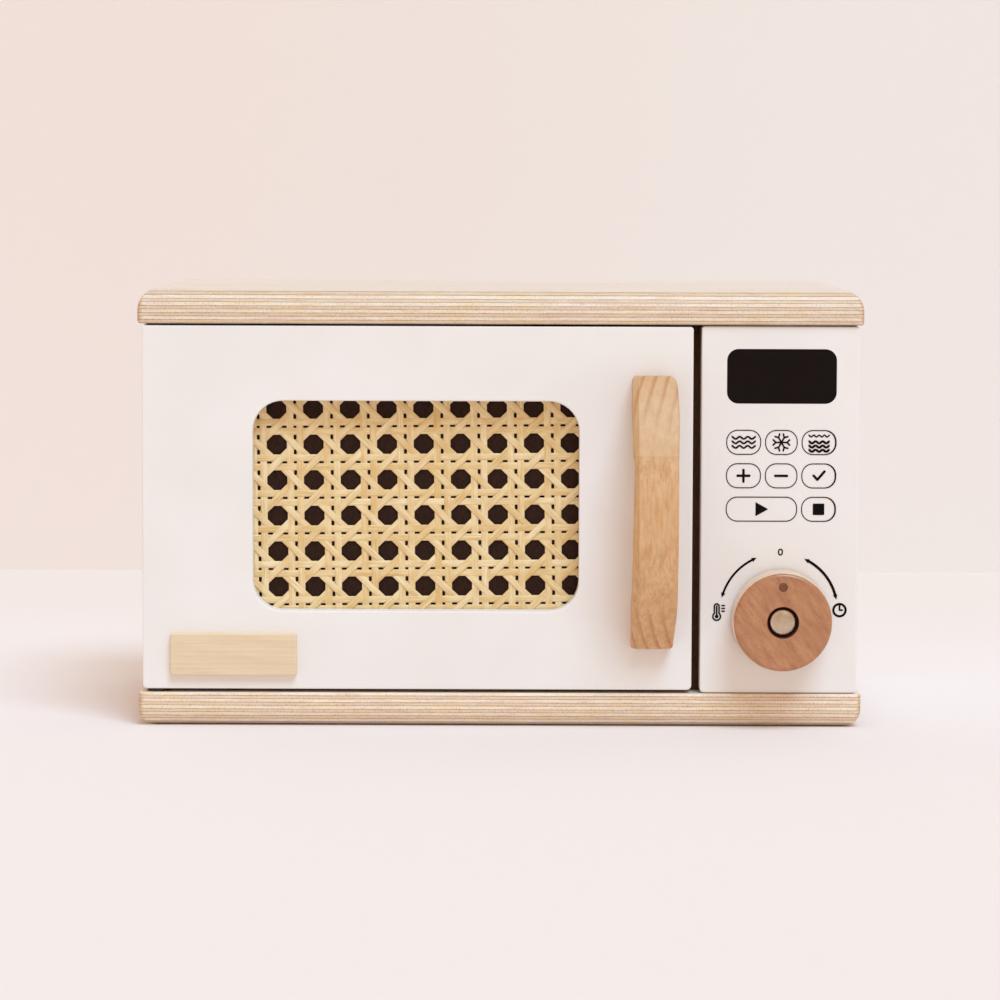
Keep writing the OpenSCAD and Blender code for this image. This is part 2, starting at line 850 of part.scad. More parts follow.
// The knob's half section, from its back at 0 to its face
module dial_section() {
  r = dial_d / 2;
  e = dial_edge_r;
  square([r, dial_t - e]);
  square([r - e, dial_t]);
  translate([r - e, dial_t - e]) circle(e);
}

module dial_knob() {
  color(dial_wood) translate([controls_x, dial_back_y, dial_z]) rotate([90, 0, 0]) difference() {
    rotate_extrude($fn = 128) dial_section();
    translate([0, 0, -cut]) cylinder(d = axle_d + 2 * run_fit, h = dial_t + 2 * cut);
    translate([0, 0, dial_t - hub_depth]) cylinder(d = hub_d, h = hub_depth + cut);
    translate([0, marker_from_axis, dial_t - marker_deep])
      cylinder(d = marker_d + 2 * press_fit, h = marker_deep + cut);
  }
}

module dial_marker() {
  color(marker_wood) translate([controls_x, dial_face_y, dial_z + marker_from_axis])
    rotate([-90, 0, 0]) cylinder(d = marker_d, h = marker_deep);
}

// Turntable
module turntable_pin() {
  color(steel) translate([plate_x, plate_y, floor_z - pivot_seat])
    cylinder(d = pivot_d, h = pivot_seat + plate_z - floor_z + pivot_bite);
}

module turntable_washer() {
  color(nylon) translate([plate_x, plate_y, floor_z]) difference() {
    cylinder(d = pivot_d + 2 * plate_washer_ring, h = plate_washer_t);
    translate([0, 0, -cut]) cylinder(d = pivot_d + washer_fit, h = plate_washer_t + 2 * cut);
  }
}

module turntable_plate() {
  hollow_d = plate_d - 2 * plate_rim;
  color(beech) translate([plate_x, plate_y, plate_z]) difference() {
    cylinder(d = plate_d, h = plate_t, $fn = 128);
    translate([0, 0, plate_t - plate_hollow])
      cylinder(d1 = hollow_d - 2 * plate_hollow, d2 = hollow_d, h = plate_hollow + eps, $fn = 128);
    translate([0, 0, -cut]) cylinder(d = pivot_d + 2 * run_fit, h = cut + pivot_bite + blind_gap);
  }
}

// Hinges: a pin up and a pin down, each through a thin washer in the door's gap
module hinge_pins() {
  base_z = floor_z - hinge_pin_seat + blind_gap;
  top_z = door_z1 - hinge_pin_bite;
  color(steel) for (pin = [
    [base_z, door_z0 + hinge_pin_bite - base_z],
    [top_z, roof_z + hinge_pin_seat - blind_gap - top_z]
  ]) translate([pin_x, pin_y, pin[0]]) cylinder(d = hinge_pin_d, h = pin[1]);
}

module hinge_washers() {
  top_z = door_z1 + play;
  color(black_nylon) for (washer = [[floor_z, door_gap_base - play], [top_z, roof_z - top_z]])
    translate([pin_x, pin_y, washer[0]]) difference() {
      cylinder(d = hinge_pin_d + 2 * hinge_washer_ring, h = washer[1]);
      translate([0, 0, -cut]) cylinder(d = hinge_pin_d + washer_fit, h = washer[1] + 2 * cut);
    }
}

// The outline that the webbing and its backing fill, drawn in by a clearance
module webbing_outline(c) {
  l = webbing_lap - c;
  round_rect(window_x0 - l, window_z0 - l, window_x1 + l, window_z1 + l, webbing_r);
}

// What a corner of a plate from x0, y0 loses beside a round of the given radius and middle
module corner_waste(x0, y0, x1, y1, middle, r) {
  h = door_z1 - door_z0;
  difference() {
    translate([x0, y0, door_z0 - cut]) cube([x1 - x0, y1 - y0, h + 2 * cut]);
    translate([middle[0], middle[1], door_z0 - 2 * cut]) cylinder(r = r, h = h + 4 * cut);
  }
}

module door_frame() {
  edge = [door_x0 + door_edge_r, door_y + door_edge_r];
  pin_bore_l = hinge_pin_bite + blind_gap + cut;
  color(paint) difference() {
    upright(door_y, door_back_y)
      round_rect(door_x0, door_z0, door_x1, door_z1, door_corner_r);
    // The hinge edge is half round about the pins at the back, and eased at the front
    corner_waste(door_x0 - cut, pin_y, pin_x, door_back_y + cut, [pin_x, pin_y], door_t / 2);
    corner_waste(door_x0 - cut, door_y - cut, edge[0], edge[1], edge, door_edge_r);
    upright(door_y - cut, door_back_y + cut)
      round_rect(window_x0, window_z0, window_x1, window_z1, window_r);
    upright(rebate_y, door_back_y + cut) webbing_outline(0);
    for (z = [door_z0 - cut, door_z1 + cut - pin_bore_l])
      translate([pin_x, pin_y, z]) cylinder(d = hinge_pin_d + 2 * press_fit, h = pin_bore_l);
    handle_screw_bores();
    bar_y(catch_x, door_back_y - strike_t, catch_z, strike_d + 2 * press_fit, strike_t + cut);
    strike_screw_bore();
  }
}

module cane_hole_shape() {
  half_side = 22.5;
  rotate(half_side) circle(d = cane_hole / cos(half_side), $fn = 8);
}

module cane_webbing() {
  color(cane) upright(rebate_y, rebate_y + webbing_t) difference() {
    webbing_outline(webbing_clearance);
    for (i = [0:cane_columns - 1], k = [0:cane_rows - 1])
      translate([window_x0 + cane_first_x + i * cane_pitch_x,
        window_z0 + cane_first_z + k * cane_pitch_z]) {
        cane_hole_shape();
        for (s = [-1, 1]) {
          translate([s * cane_slit_out - cane_slit / 2, (cane_pitch_z - cane_slit_w) / 2])
            square([cane_slit, cane_slit_w]);
          translate([(cane_pitch_x - cane_slit_w) / 2, s * cane_slit_out - cane_slit / 2])
            square([cane_slit_w, cane_slit]);
        }
      }
  }
}

module window_backing() {
  color(dark_board) upright(rebate_y + webbing_t, rebate_y + webbing_t + backing_t)
    webbing_outline(webbing_clearance);
}

// The bow: an outer arc and an inner arc about the handle's middle, cut to its end thickness
module door_handle() {
  color(beech) difference() {
    intersection() {
      upright(door_y - handle_reach - cut, door_y)
        round_rect(handle_x0, handle_z0, handle_x1, handle_z1, handle_corner_r);
      translate([handle_x0 - cut, door_y - handle_reach + bow_r, handle_mid_z])
        rotate([0, 90, 0]) cylinder(r = bow_r, h = handle_w + 2 * cut, $fn = 180);
    }
    translate([handle_x0 - cut, door_y - finger_gap_d + gap_r, handle_mid_z])
      rotate([0, 90, 0]) cylinder(r = gap_r, h = handle_w + 2 * cut, $fn = 128);
    handle_screw_bores();
  }
}

module at_handle_screws() {
  for (z = [handle_z0 + foot_l / 2, handle_z1 - foot_l / 2])
    translate([(handle_x0 + handle_x1) / 2, door_back_y, z]) rotate([90, 0, 0]) children();
}

module handle_screws() {
  color(steel) at_handle_screws() csk_screw(screw_d, handle_screw_l);
}

module handle_screw_bores() {
  at_handle_screws() csk_bore(screw_d, handle_screw_l);
}

module plaque() {
  x0 = door_x0 + plaque_from_hinge;
  z0 = door_z0 + plaque_from_below;
  color(plaque_birch) upright(door_y - plaque_t, door_y)
    round_rect(x0, z0, x0 + plaque_w, z0 + plaque_h, plaque_r);
}

// Strike plate: a steel disc let into the door's back, held by one screw
module at_strike_screw() {
  translate([catch_x, door_back_y, catch_z]) rotate([90, 0, 0]) children();
}

module strike_plate() {
  color(steel) difference() {
    bar_y(catch_x, door_back_y - strike_t, catch_z, strike_d, strike_t);
    strike_screw_bore();
  }
}

module strike_screw() {
  color(steel) at_strike_screw() csk_screw(small_screw_d, strike_screw_l);
}

module strike_screw_bore() {
  at_strike_screw() csk_bore(small_screw_d, strike_screw_l);
}

base_board();
top_board();
left_wall();
right_wall();
divider();
back_panel();
control_panel();
display_plate();
panel_print();
catch_block();
catch_magnet();
catch_screws();
dial_axle();
dial_cap();
dial_push_nut();
dial_washers();
turntable_pin();
turntable_washer();
hinge_washers();
base_screws();
top_dowels();
panel_dowels();
back_screws();
door_frame();
cane_webbing();
window_backing();
door_handle();
handle_screws();
plaque();
hinge_pins();
strike_plate();
strike_screw();
dial_knob();
dial_marker();
turntable_plate();
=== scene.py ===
"""A wooden toy microwave oven: birch plywood boards, a white painted door and panel, a woven cane window.

Lengths are in metres. A size that a maker would know in millimetres is written as a number times mm.
"""
from math import pi, radians

import bmesh
import bpy
import numpy as np
from mathutils import Matrix, Vector


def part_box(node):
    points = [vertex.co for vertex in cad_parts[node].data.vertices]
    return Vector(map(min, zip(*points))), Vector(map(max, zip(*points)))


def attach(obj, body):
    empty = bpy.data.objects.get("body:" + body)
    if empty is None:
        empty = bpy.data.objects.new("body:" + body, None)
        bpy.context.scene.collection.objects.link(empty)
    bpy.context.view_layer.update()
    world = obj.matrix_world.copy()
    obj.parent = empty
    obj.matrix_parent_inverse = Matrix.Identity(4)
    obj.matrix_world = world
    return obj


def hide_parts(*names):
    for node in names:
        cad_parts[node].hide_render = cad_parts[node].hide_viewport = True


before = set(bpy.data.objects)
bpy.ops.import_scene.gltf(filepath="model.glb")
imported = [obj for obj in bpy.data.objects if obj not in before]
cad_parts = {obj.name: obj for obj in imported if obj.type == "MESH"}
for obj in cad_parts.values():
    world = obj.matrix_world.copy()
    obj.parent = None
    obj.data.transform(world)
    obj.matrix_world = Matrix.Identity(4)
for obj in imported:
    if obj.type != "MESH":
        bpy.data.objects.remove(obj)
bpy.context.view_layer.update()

# Camera
# A long lens, 1.7 m in front of the oven and a little above it, looks down by a few degrees.
# The picture leans very slightly, so the camera is rolled by a fifth of a degree.
mm = 0.001
camera_data = bpy.data.cameras.new("camera")
camera_data.sensor_width = 36
camera_data.lens = 144.07
camera_data.clip_start = 0.05
camera = bpy.data.objects.new("camera", camera_data)
camera_place = Matrix.Translation((-0.1 * mm, -1789.3 * mm, 230.5 * mm))
tilt_down = radians(4.46)
roll = radians(0.188)
camera.matrix_world = (
    camera_place @ Matrix.Rotation(pi / 2 - tilt_down, 4, "X") @ Matrix.Rotation(roll, 4, "Z")
)
bpy.context.scene.collection.objects.link(camera)
bpy.context.scene.camera = camera

# Studio
# A pale table top and a pale wall behind it, both matt. The table is painted darker towards the wall and the
# wall darker towards the left, as painted shade. One large soft light comes from the front, above and to the
# right, and the room itself gives a warm even fill, so shadows fall softly to the lower left.


def srgb(code):
    """A hex colour such as #aabbcc as linear red, green, blue and alpha."""
    value = np.array([int(code[i:i + 2], 16) / 255 for i in (1, 3, 5)])
    linear = np.where(value <= 0.04045, value / 12.92, ((value + 0.055) / 1.055) ** 2.4)
    return [*linear.tolist(), 1.0]


def add(tree, kind, inputs=None, stops=None, **settings):
    """Adds a node, sets it up and fills its sockets with numbers, colours or other nodes' outputs."""
    made = tree.nodes.new("ShaderNode" + kind)
    for name, value in settings.items():
        setattr(made, name, value)
    for socket, value in (inputs or {}).items():
        if isinstance(value, bpy.types.Node):
            value = value.outputs[0]
        if isinstance(value, bpy.types.NodeSocket):
            tree.links.new(value, made.inputs[socket])
        else:
            made.inputs[socket].default_value = srgb(value) if isinstance(value, str) else value
    for i, (place, tone) in enumerate(stops or []):
        elements = made.color_ramp.elements
        stop = elements[i] if i < 2 else elements.new(place)
        stop.position = place
        stop.color = srgb(tone) if isinstance(tone, str) else (tone, tone, tone, 1)
    return made


def finish(name, **plain):
    """A material with one surface shader, whose plain sockets are set, such as Roughness=0.4."""
    material = bpy.data.materials.new(name)
    material.use_nodes = True
    shader = material.node_tree.nodes["Principled BSDF"]
    for socket, value in plain.items():
        value = srgb(value) if isinstance(value, str) else value
        shader.inputs[socket.replace("_", " ")].default_value = value
    return material, material.node_tree, shader


def tone_mix(tree, share, first, second, blend="MIX"):
    """Two colours mixed by a share, each a hex value or a node."""
    return add(tree, "Mix", {0: share, 6: first, 7: second}, data_type="RGBA", blend_type=blend).outputs[2]


def surface_mesh(name, grid, wrap_rows=False, wrap_columns=False):
    """A grid of points as a mesh of four-sided faces. A wrapped direction closes on itself, and points
    that fall together, as at a pole, are merged."""
    rows, columns = grid.shape[:2]
    index = np.arange(rows * columns).reshape(rows, columns)
    if wrap_rows:
        index = np.vstack([index, index[:1]])
    if wrap_columns:
        index = np.hstack([index, index[:, :1]])
    corners = [index[:-1, :-1], index[1:, :-1], index[1:, 1:], index[:-1, 1:]]
    faces = np.stack(corners, -1).reshape(-1, 4)
    mesh = bpy.data.meshes.new(name)
    mesh.from_pydata(grid.reshape(-1, 3).tolist(), [], faces.tolist())
    joined = bmesh.new()
    joined.from_mesh(mesh)
    bmesh.ops.remove_doubles(joined, verts=joined.verts, dist=1e-6)
    bmesh.ops.recalc_face_normals(joined, faces=joined.faces)
    joined.to_mesh(mesh)
    joined.free()
    return mesh


def object_from(mesh, material, sharp_over=35):
    """Puts a mesh in the scene, smooth except over edges that turn by more than an angle in degrees."""
    mesh.shade_smooth()
    mesh.set_sharp_from_angle(angle=radians(sharp_over))
    mesh.materials.append(material)
    made = bpy.data.objects.new(mesh.name, mesh)
    bpy.context.scene.collection.objects.link(made)
    return made


room_half_width = 3.0
wall_y = 0.615
room_front_y = -3.0
table_z = -0.05 * mm
wall_top_z = 3.0


def room_plane(name, corner, across, up, axis, start, end, tones):
    """A flat matt plane from a corner along two edges, whose colour changes between two tones from a start
    to an end on one axis, as painted light and shade. It faces the way that across x up points, and from
    behind it is clear, so the oven is also seen from outside the room."""
    u, v = np.meshgrid([0, 1], [0, 1], indexing="ij")
    grid = np.array(corner) + u[..., None] * np.array(across) + v[..., None] * np.array(up)
    material, tree, shader = finish(name, Roughness=0.9, Specular_IOR_Level=0.1)
    place = add(tree, "SeparateXYZ", {0: add(tree, "TexCoord").outputs["Object"]}).outputs[axis]
    share = add(tree, "MapRange", {0: place, 1: start, 2: end}, interpolation_type="SMOOTHSTEP")
    tree.links.new(tone_mix(tree, share, *tones), shader.inputs["Base Color"])
    behind = add(tree, "NewGeometry").outputs["Backfacing"]
    clear = add(tree, "BsdfTransparent")
    shown = add(tree, "MixShader", {0: behind, 1: shader, 2: clear})
    tree.links.new(shown.outputs[0], tree.nodes["Material Output"].inputs["Surface"])
    mesh = surface_mesh(name, grid)
    if mesh.polygons[0].normal.dot(Vector(across).cross(Vector(up))) < 0:
        mesh.flip_normals()
    plane = object_from(mesh, material)


# Painted shade: the table darkens towards the wall, and the wall is darker and pinker towards the left.
room_plane("table_top", (-room_half_width, room_front_y, table_z), (2 * room_half_width, 0, 0),
           (0, wall_y - room_front_y, 0), "Y", 0.1, 0.5, ("#f2e8e4", "#ede1d9"))
room_plane("wall", (-room_half_width, wall_y, table_z), (2 * room_half_width, 0, 0),
           (0, 0, wall_top_z), "X", -0.25, 0.25, ("#f4e7e0", "#f4ece7"))

world = bpy.data.worlds.new("studio")
world.use_nodes = True
world.node_tree.nodes["Background"].inputs["Color"].default_value = srgb("#ffe5c9")
world.node_tree.nodes["Background"].inputs["Strength"].default_value = 0.712
bpy.context.scene.world = world

key_data = bpy.data.lights.new("key_lamp", "SUN")
key_data.angle = radians(30)
key_data.energy = 2.19
key_data.color = srgb("#bce2ff")[:3]
key = bpy.data.objects.new("key_lamp", key_data)
lamp_away = Vector((0.83, -1.85, 2.96))
lamp_aim = Vector((0, 0, 0.09))
lamp_turn = (-lamp_away).to_track_quat("-Z", "Y").to_matrix().to_4x4()
key.matrix_world = Matrix.Translation(lamp_aim + lamp_away) @ lamp_turn
bpy.context.scene.collection.objects.link(key)
bpy.context.scene.view_settings.view_transform = "Standard"

# Base board and top board
# Birch plywood of eleven plies, sawn to shape, with the outer edge rounded over by a router and oiled.
# They carry the whole: screws go up through the base, and dowels stand in the top board's underside, which
# is the oven's ceiling and is drawn dark brown as painted shade for the gap above the door and panel.
board_corner_r = 3 * mm
base_edge_r = 8 * mm
top_edge_r = 9.5 * mm
board_arris = 1 * mm
ply_pairs = 5
# Width of the faces beside a rounding that keep a flat's shading even
flat_margin = 0.4 * mm
# How far a cutter stands out before the face that it enters
past_face = 1 * mm


def loft(outlines, rows, steps=8):
    """Rings through rounded rectangles. Each outline is (low corner, high corner, radius) in a plane, its
    radius one number or four, for the corners round from the high one. Each row is (outline, inset, depth):
    a ring lies on that outline, drawn in by the inset, at that depth. A corner is a quarter circle of what
    the inset leaves of its radius, about a middle that both keep."""
    quarter = np.linspace(0, pi / 2, steps)
    angle = np.concatenate([quarter + k * pi / 2 for k in range(4)])
    side = np.repeat([[1, 1], [-1, 1], [-1, -1], [1, -1]], steps, 0)
    low = np.array([outlines[r[0]][0] for r in rows])[:, None, :]
    high = np.array([outlines[r[0]][1] for r in rows])[:, None, :]
    radius = np.array([np.broadcast_to(outlines[r[0]][2], 4) for r in rows])
    radius = np.repeat(radius, steps, 1)[..., None]
    inset = np.array([r[1] for r in rows])[:, None, None]
    depth = np.array([r[2] for r in rows])[:, None, None]
    left = np.maximum(radius - inset, 0)
    middle = (low + high) / 2 + side * ((high - low) / 2 - inset - left)
    ring = middle + left * np.stack([np.cos(angle), np.sin(angle)], -1)
    return np.concatenate([ring, np.broadcast_to(depth, ring.shape[:2] + (1,))], -1)


def edge_round(outline, radius, face, way, steps=6):
    """Rows for a rounded edge, a quarter circle from the side wall to a face, with a last row on the flat.
    The face lies at a depth, and way is 1 if the side wall lies at greater depths."""
    turn = np.linspace(0, pi / 2, steps)
    rows = [(outline, radius * (1 - np.cos(t)), face + way * radius * (1 - np.sin(t))) for t in turn]
    return rows + [(outline, radius + flat_margin, face)]


def grain(tree, coords, size, turn=(0, 0, 0), detail=3.0):
    """Noise in grains of a given size along X, Y and Z, in metres, turned by angles."""
    place = {"Vector": coords, "Rotation": turn, "Scale": size}
    squeezed = add(tree, "Mapping", place, vector_type="TEXTURE")
    return add(tree, "TexNoise", {"Vector": squeezed, "Scale": 1.0, "Detail": detail})


def tone_and_relief(tree, shader, tone, height, depth, strength):
    """Gives a surface its tone, and a relief from a height between 0 and 1, as deep as a depth in metres
    times a strength."""
    tree.links.new(tone, shader.inputs["Base Color"])
    relief = add(tree, "Bump", {"Height": height, "Distance": depth, "Strength": strength})
    tree.links.new(relief.outputs[0], shader.inputs["Normal"])


def birch_plywood(name, low_z, high_z, along, across, underside):
    """Oiled birch plywood. Sawn through, it shows pale plies cut along the grain and tan ones cut across
    it, with a thin brown glue line between, and on its face a quiet silky figure. The pattern starts
    half a millimetre below the board's lower face, because the face plies are sanded. The underside has
    its own tone, by which it is multiplied."""
    material, tree, shader = finish(name, Roughness=0.5, IOR=1.5)
    spot = add(tree, "TexCoord")
    coords = spot.outputs["Object"]
    height = add(tree, "SeparateXYZ", {0: coords}).outputs["Z"]
    turned = add(tree, "SeparateXYZ", {0: spot.outputs["Normal"]})
    # Plies wander by less than a tenth of a millimetre over several centimetres
    wander = grain(tree, coords, (55 * mm, 55 * mm, 9 * mm), detail=2.0)
    sanded_off = 0.55 * mm
    start = sanded_off - low_z
    wave = 0.08 * mm
    shift = add(tree, "MapRange", {0: wander, 1: 0.3, 2: 0.7, 3: start - wave, 4: start + wave})
    level = add(tree, "Math", {0: height, 1: shift}, operation="ADD")
    half_pair = (high_z - low_z) / ply_pairs / 2
    folded = add(tree, "Math", {0: level, 1: half_pair}, operation="PINGPONG")
    share = add(tree, "Math", {0: folded, 1: half_pair}, operation="DIVIDE")
    glue = "#967355"
    front, side = (
        add(tree, "ValToRGB", {0: share}, stops=[
            (0.0, one), (1.0, other), (0.44, one), (0.49, glue), (0.57, glue), (0.63, other)])
        for one, other in ((along, across), (across, along))
    )
    sideways = add(tree, "Math", {0: turned.outputs["X"]}, operation="ABSOLUTE")
    edge = tone_mix(tree, sideways, front, side)
    # Edges that face sideways are drawn darker and browner: painted shade where the boards' ends turn away
    sideways_darker = add(tree, "MapRange", {0: sideways, 1: 0.35, 2: 0.85, 3: 0.0, 4: 0.8})
    edge = tone_mix(tree, sideways_darker, edge, "#dfc09f", "MULTIPLY")
    # Glue lines fade in and out along the board
    patchy = grain(tree, coords, (9 * mm, 9 * mm, 0.7 * mm))
    fade = add(tree, "MapRange", {0: patchy, 1: 0.45, 2: 0.7, 3: 0.0, 4: 0.5})
    edge = tone_mix(tree, fade, edge, "#e8d3bc")
    # Each ply has its own cast here and there
    cast = grain(tree, coords, (16 * mm, 16 * mm, 1.3 * mm), detail=1.0)
    cast = add(tree, "ValToRGB", {0: cast}, stops=[(0.36, "#fff4dc"), (0.5, "#ffffff"), (0.64, "#fbeae2")])
    edge = tone_mix(tree, 0.8, edge, cast.outputs[0], "MULTIPLY")
    # Short vessels are cut through, drawn coarser than they are
    vessel = grain(tree, coords, (0.45 * mm, 0.45 * mm, 1.4 * mm), detail=1.0)
    vessel = add(tree, "ValToRGB", {0: vessel}, stops=[(0.33, "#d9bf9f"), (0.47, "#ffffff")])
    edge = tone_mix(tree, 0.45, edge, vessel.outputs[0], "MULTIPLY")
    # The faces show quiet veneer
    upright = add(tree, "Math", {0: turned.outputs["Z"]}, operation="ABSOLUTE")
    flatness = add(tree, "MapRange", {0: upright, 1: 0.9, 2: 1.0})
    figure = grain(tree, coords, (90 * mm, 7 * mm, 7 * mm), detail=4.0)
    veneer = add(tree, "ValToRGB", {0: figure}, stops=[(0.3, "#e8d6c4"), (0.75, "#f0e2d4")])
    tone = tone_mix(tree, flatness, edge, veneer)
    beneath = add(tree, "MapRange", {0: turned.outputs["Z"], 1: -0.9, 2: -1.0})
    tone = tone_mix(tree, beneath, tone, underside, "MULTIPLY")
    fibre = grain(tree, coords, (8 * mm, 0.25 * mm, 0.16 * mm))
    streak = add(tree, "ValToRGB", {0: fibre}, stops=[(0.32, 0.84), (0.62, 1.0)])
    tone = tone_mix(tree, 0.55, tone, streak, "MULTIPLY")
    tone_and_relief(tree, shader, tone, fibre, 0.04 * mm, 0.3)
    return material


def board_grid(low, high, round_low, edge_r):
    """A whole board: a flat face that closes on its middle line, a rounded edge, a side wall, and the
    other face behind a sanded arris. The rounded edge is at the board's low or high side."""
    outline = [(low[:2], high[:2], board_corner_r)]
    half_depth = (high[1] - low[1]) / 2
    soft_z, crisp_z, way = (low[2], high[2], 1) if round_low else (high[2], low[2], -1)
    soft = edge_round(0, edge_r, soft_z, way, steps=14)
    crisp = edge_round(0, board_arris, crisp_z, -way, steps=5)
    rows = [(0, half_depth, soft_z)] + soft[::-1] + crisp + [(0, half_depth, crisp_z)]
    return loft(outline, rows, steps=8)


def revolve(profile, place, axis, steps):
    """A profile of (radius, height) carried round an axis through a place: "up" is +Z, "out" is -Y."""
    radius, height = (np.array(v)[:, None] for v in zip(*profile))
    angle = np.linspace(0, 2 * pi, steps, endpoint=False)[None, :]
    across, over = radius * np.cos(angle), radius * np.sin(angle)
    height = np.broadcast_to(height, across.shape)
    parts = {"up": (across, over, height), "out": (across, -height, over)}[axis]
    return np.array(place) + np.stack(parts, -1)


def cut(mesh, cutters):
    """Takes the cutters' closed meshes out of a closed mesh. The result keeps its name."""
    scene = bpy.context.scene.collection
    solid = bpy.data.objects.new("solid", mesh)
    scene.objects.link(solid)
    tools = []
    for cutter in cutters:
        tool = bpy.data.objects.new("tool", cutter)
        scene.objects.link(tool)
        tools.append(tool)
        modifier = solid.modifiers.new("cut", "BOOLEAN")
        modifier.operation = "DIFFERENCE"
        modifier.solver = "EXACT"
        modifier.object = tool
    bpy.context.view_layer.update()
    drilled = solid.evaluated_get(bpy.context.evaluated_depsgraph_get())
    whole = bpy.data.meshes.new_from_object(drilled)
    name = mesh.name
    for spent in [solid, *tools]:
        spent_mesh = spent.data
        bpy.data.objects.remove(spent)
        bpy.data.meshes.remove(spent_mesh)
    whole.name = name
    return whole


def countersink(place, head_d, shank_d, depth, axis, before=past_face):
    """A cutter for a countersunk screw hole that runs along an axis from its head's place: a cone under the
    head, a bore for the shank down to a depth, and as wide as the head for a length before it."""
    head_h = (head_d - shank_d) / 2
    profile = [(0, -before), (head_d / 2, -before), (head_d / 2, 0)]
    profile += [(shank_d / 2, head_h), (shank_d / 2, depth), (0, depth)]
    return surface_mesh("cutter", revolve(profile, place, axis, 24), wrap_columns=True)


def dress(material, *names):
    """Gives CAD nodes a finish."""
    for name in names:
        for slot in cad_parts[name].material_slots:
            slot.material = material


def box_of(node):
    """A node's lowest and highest corner, in metres."""
    return tuple(np.array(corner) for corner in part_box(node))


base_low, base_high = box_of("base_board")
top_low, top_high = box_of("top_board")
# The base board's plywood tones are paler than the top board's: painted light, as less light reaches the
# base's edge.
base_ply_painted_paler = birch_plywood("birch_plywood_base_painted_paler", base_low[2], base_high[2], "#fff0de", "#f0d8bc", "#ffffff")
# The top board's underside is multiplied by dark brown: painted shade in the gap above the door and panel.
top_ply = birch_plywood("birch_plywood_top", top_low[2], top_high[2], "#f8eada", "#e6cfb3", "#5a3a24")

screw_head_d = 8.1 * mm
screw_shank_d = 4.1 * mm
screw_inset = 24 * mm
head_z = box_of("base_screws")[0][2]
base_cutters = []
for upright in ("left_wall", "divider", "right_wall"):
    wall_low, wall_high = box_of(upright)
    for y in (wall_low[1] + screw_inset, wall_high[1] - screw_inset):
        spot = ((wall_low[0] + wall_high[0]) / 2, y, head_z)
        base_cutters.append(
            countersink(spot, screw_head_d, screw_shank_d, base_high[2], "up", head_z + past_face)
        )
base_grid = board_grid(base_low, base_high, True, base_edge_r)
base_mesh = cut(surface_mesh("base_board_plywood", base_grid, wrap_columns=True), base_cutters)
base = object_from(base_mesh, base_ply_painted_paler)
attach(base, "cabinet")
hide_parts("base_board")

top_grid = board_grid(top_low, top_high, False, top_edge_r)
top = object_from(surface_mesh("top_board_plywood", top_grid, wrap_columns=True), top_ply)
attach(top, "cabinet")
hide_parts("top_board")

# Walls, divider and back panel
# The side walls are white painted board. The divider and the space behind the window are stained dark,
# and the thin back panel is bare birch plywood, screwed on from behind.


def satin_paint():
    """White water-based enamel, sprayed and rubbed down: even, with a faint orange peel."""
    material, tree, shader = finish("white_satin_paint", Roughness=0.42, IOR=1.48)
    coords = add(tree, "TexCoord").outputs["Object"]
    cloud = grain(tree, coords, (40 * mm, 40 * mm, 40 * mm), detail=2.0)
    tone = add(tree, "ValToRGB", {0: cloud}, stops=[(0.3, "#f1eae5"), (0.7, "#f5efeb")])
    peel = grain(tree, coords, (1.2 * mm, 1.2 * mm, 1.2 * mm), detail=1.0)
    tone_and_relief(tree, shader, tone.outputs[0], peel, 0.02 * mm, 0.25)
    return material


def dark_stain(name, low, high):
    """Fibreboard under a matt dark brown stain, slightly mottled between two tones."""
    material, tree, shader = finish(name, Roughness=0.8, Specular_IOR_Level=0.2)
    coords = add(tree, "TexCoord").outputs["Object"]
    mottle = grain(tree, coords, (0.8 * mm, 0.8 * mm, 2 * mm))
    tone = add(tree, "ValToRGB", {0: mottle}, stops=[(0.35, low), (0.7, high)])
    tree.links.new(tone.outputs[0], shader.inputs["Base Color"])
    return material


def growth_lines(tree, coords, ring, spacing, wander):
    """Growth rings as planes square to a direction: each year ends in a thin dark line. They wander by a
    share of their spacing over several centimetres."""
    drift = grain(tree, coords, (35 * mm, 35 * mm, 35 * mm), detail=1.0)
    way = np.array(ring) / np.linalg.norm(ring) / spacing
    along = add(tree, "VectorMath", {0: coords, 1: way.tolist()}, operation="DOT_PRODUCT").outputs["Value"]
    year = add(tree, "Math", {0: drift, 1: wander, 2: along}, operation="MULTIPLY_ADD")
    year = add(tree, "Math", {0: year}, operation="FRACT")
    late_wood = [(0.0, 0.4), (1.0, 0.5), (0.1, 0.0), (0.6, 0.1), (0.9, 1.0)]
    return add(tree, "ValToRGB", {0: year}, stops=late_wood)


def fibres(tree, shader, coords, tone, fibre, streaks, pores, turn=(0, 0, 0)):
    """Fine streaks and open pores along the fibres over a tone, each with its strength, and a faint
    relief. The fibre's size is given along X, Y and Z before its turn, and pores are drawn no finer than
    the picture shows."""
    hair = grain(tree, coords, tuple(f / 2 for f in fibre), turn)
    streak = add(tree, "ValToRGB", {0: hair}, stops=[(0.3, 0.82), (0.6, 1.0)])
    tone = tone_mix(tree, streaks, tone, streak, "MULTIPLY")
    pore_size = tuple(max(f / 4, 0.45 * mm) for f in fibre)
    fleck = grain(tree, coords, pore_size, turn, detail=1.0)
    pore = add(tree, "ValToRGB", {0: fleck}, stops=[(0.58, "#ffffff"), (0.72, "#c49a78")])
    tone = tone_mix(tree, pores, tone, pore, "MULTIPLY")
    tone_and_relief(tree, shader, tone, hair, 0.04 * mm, 0.25)


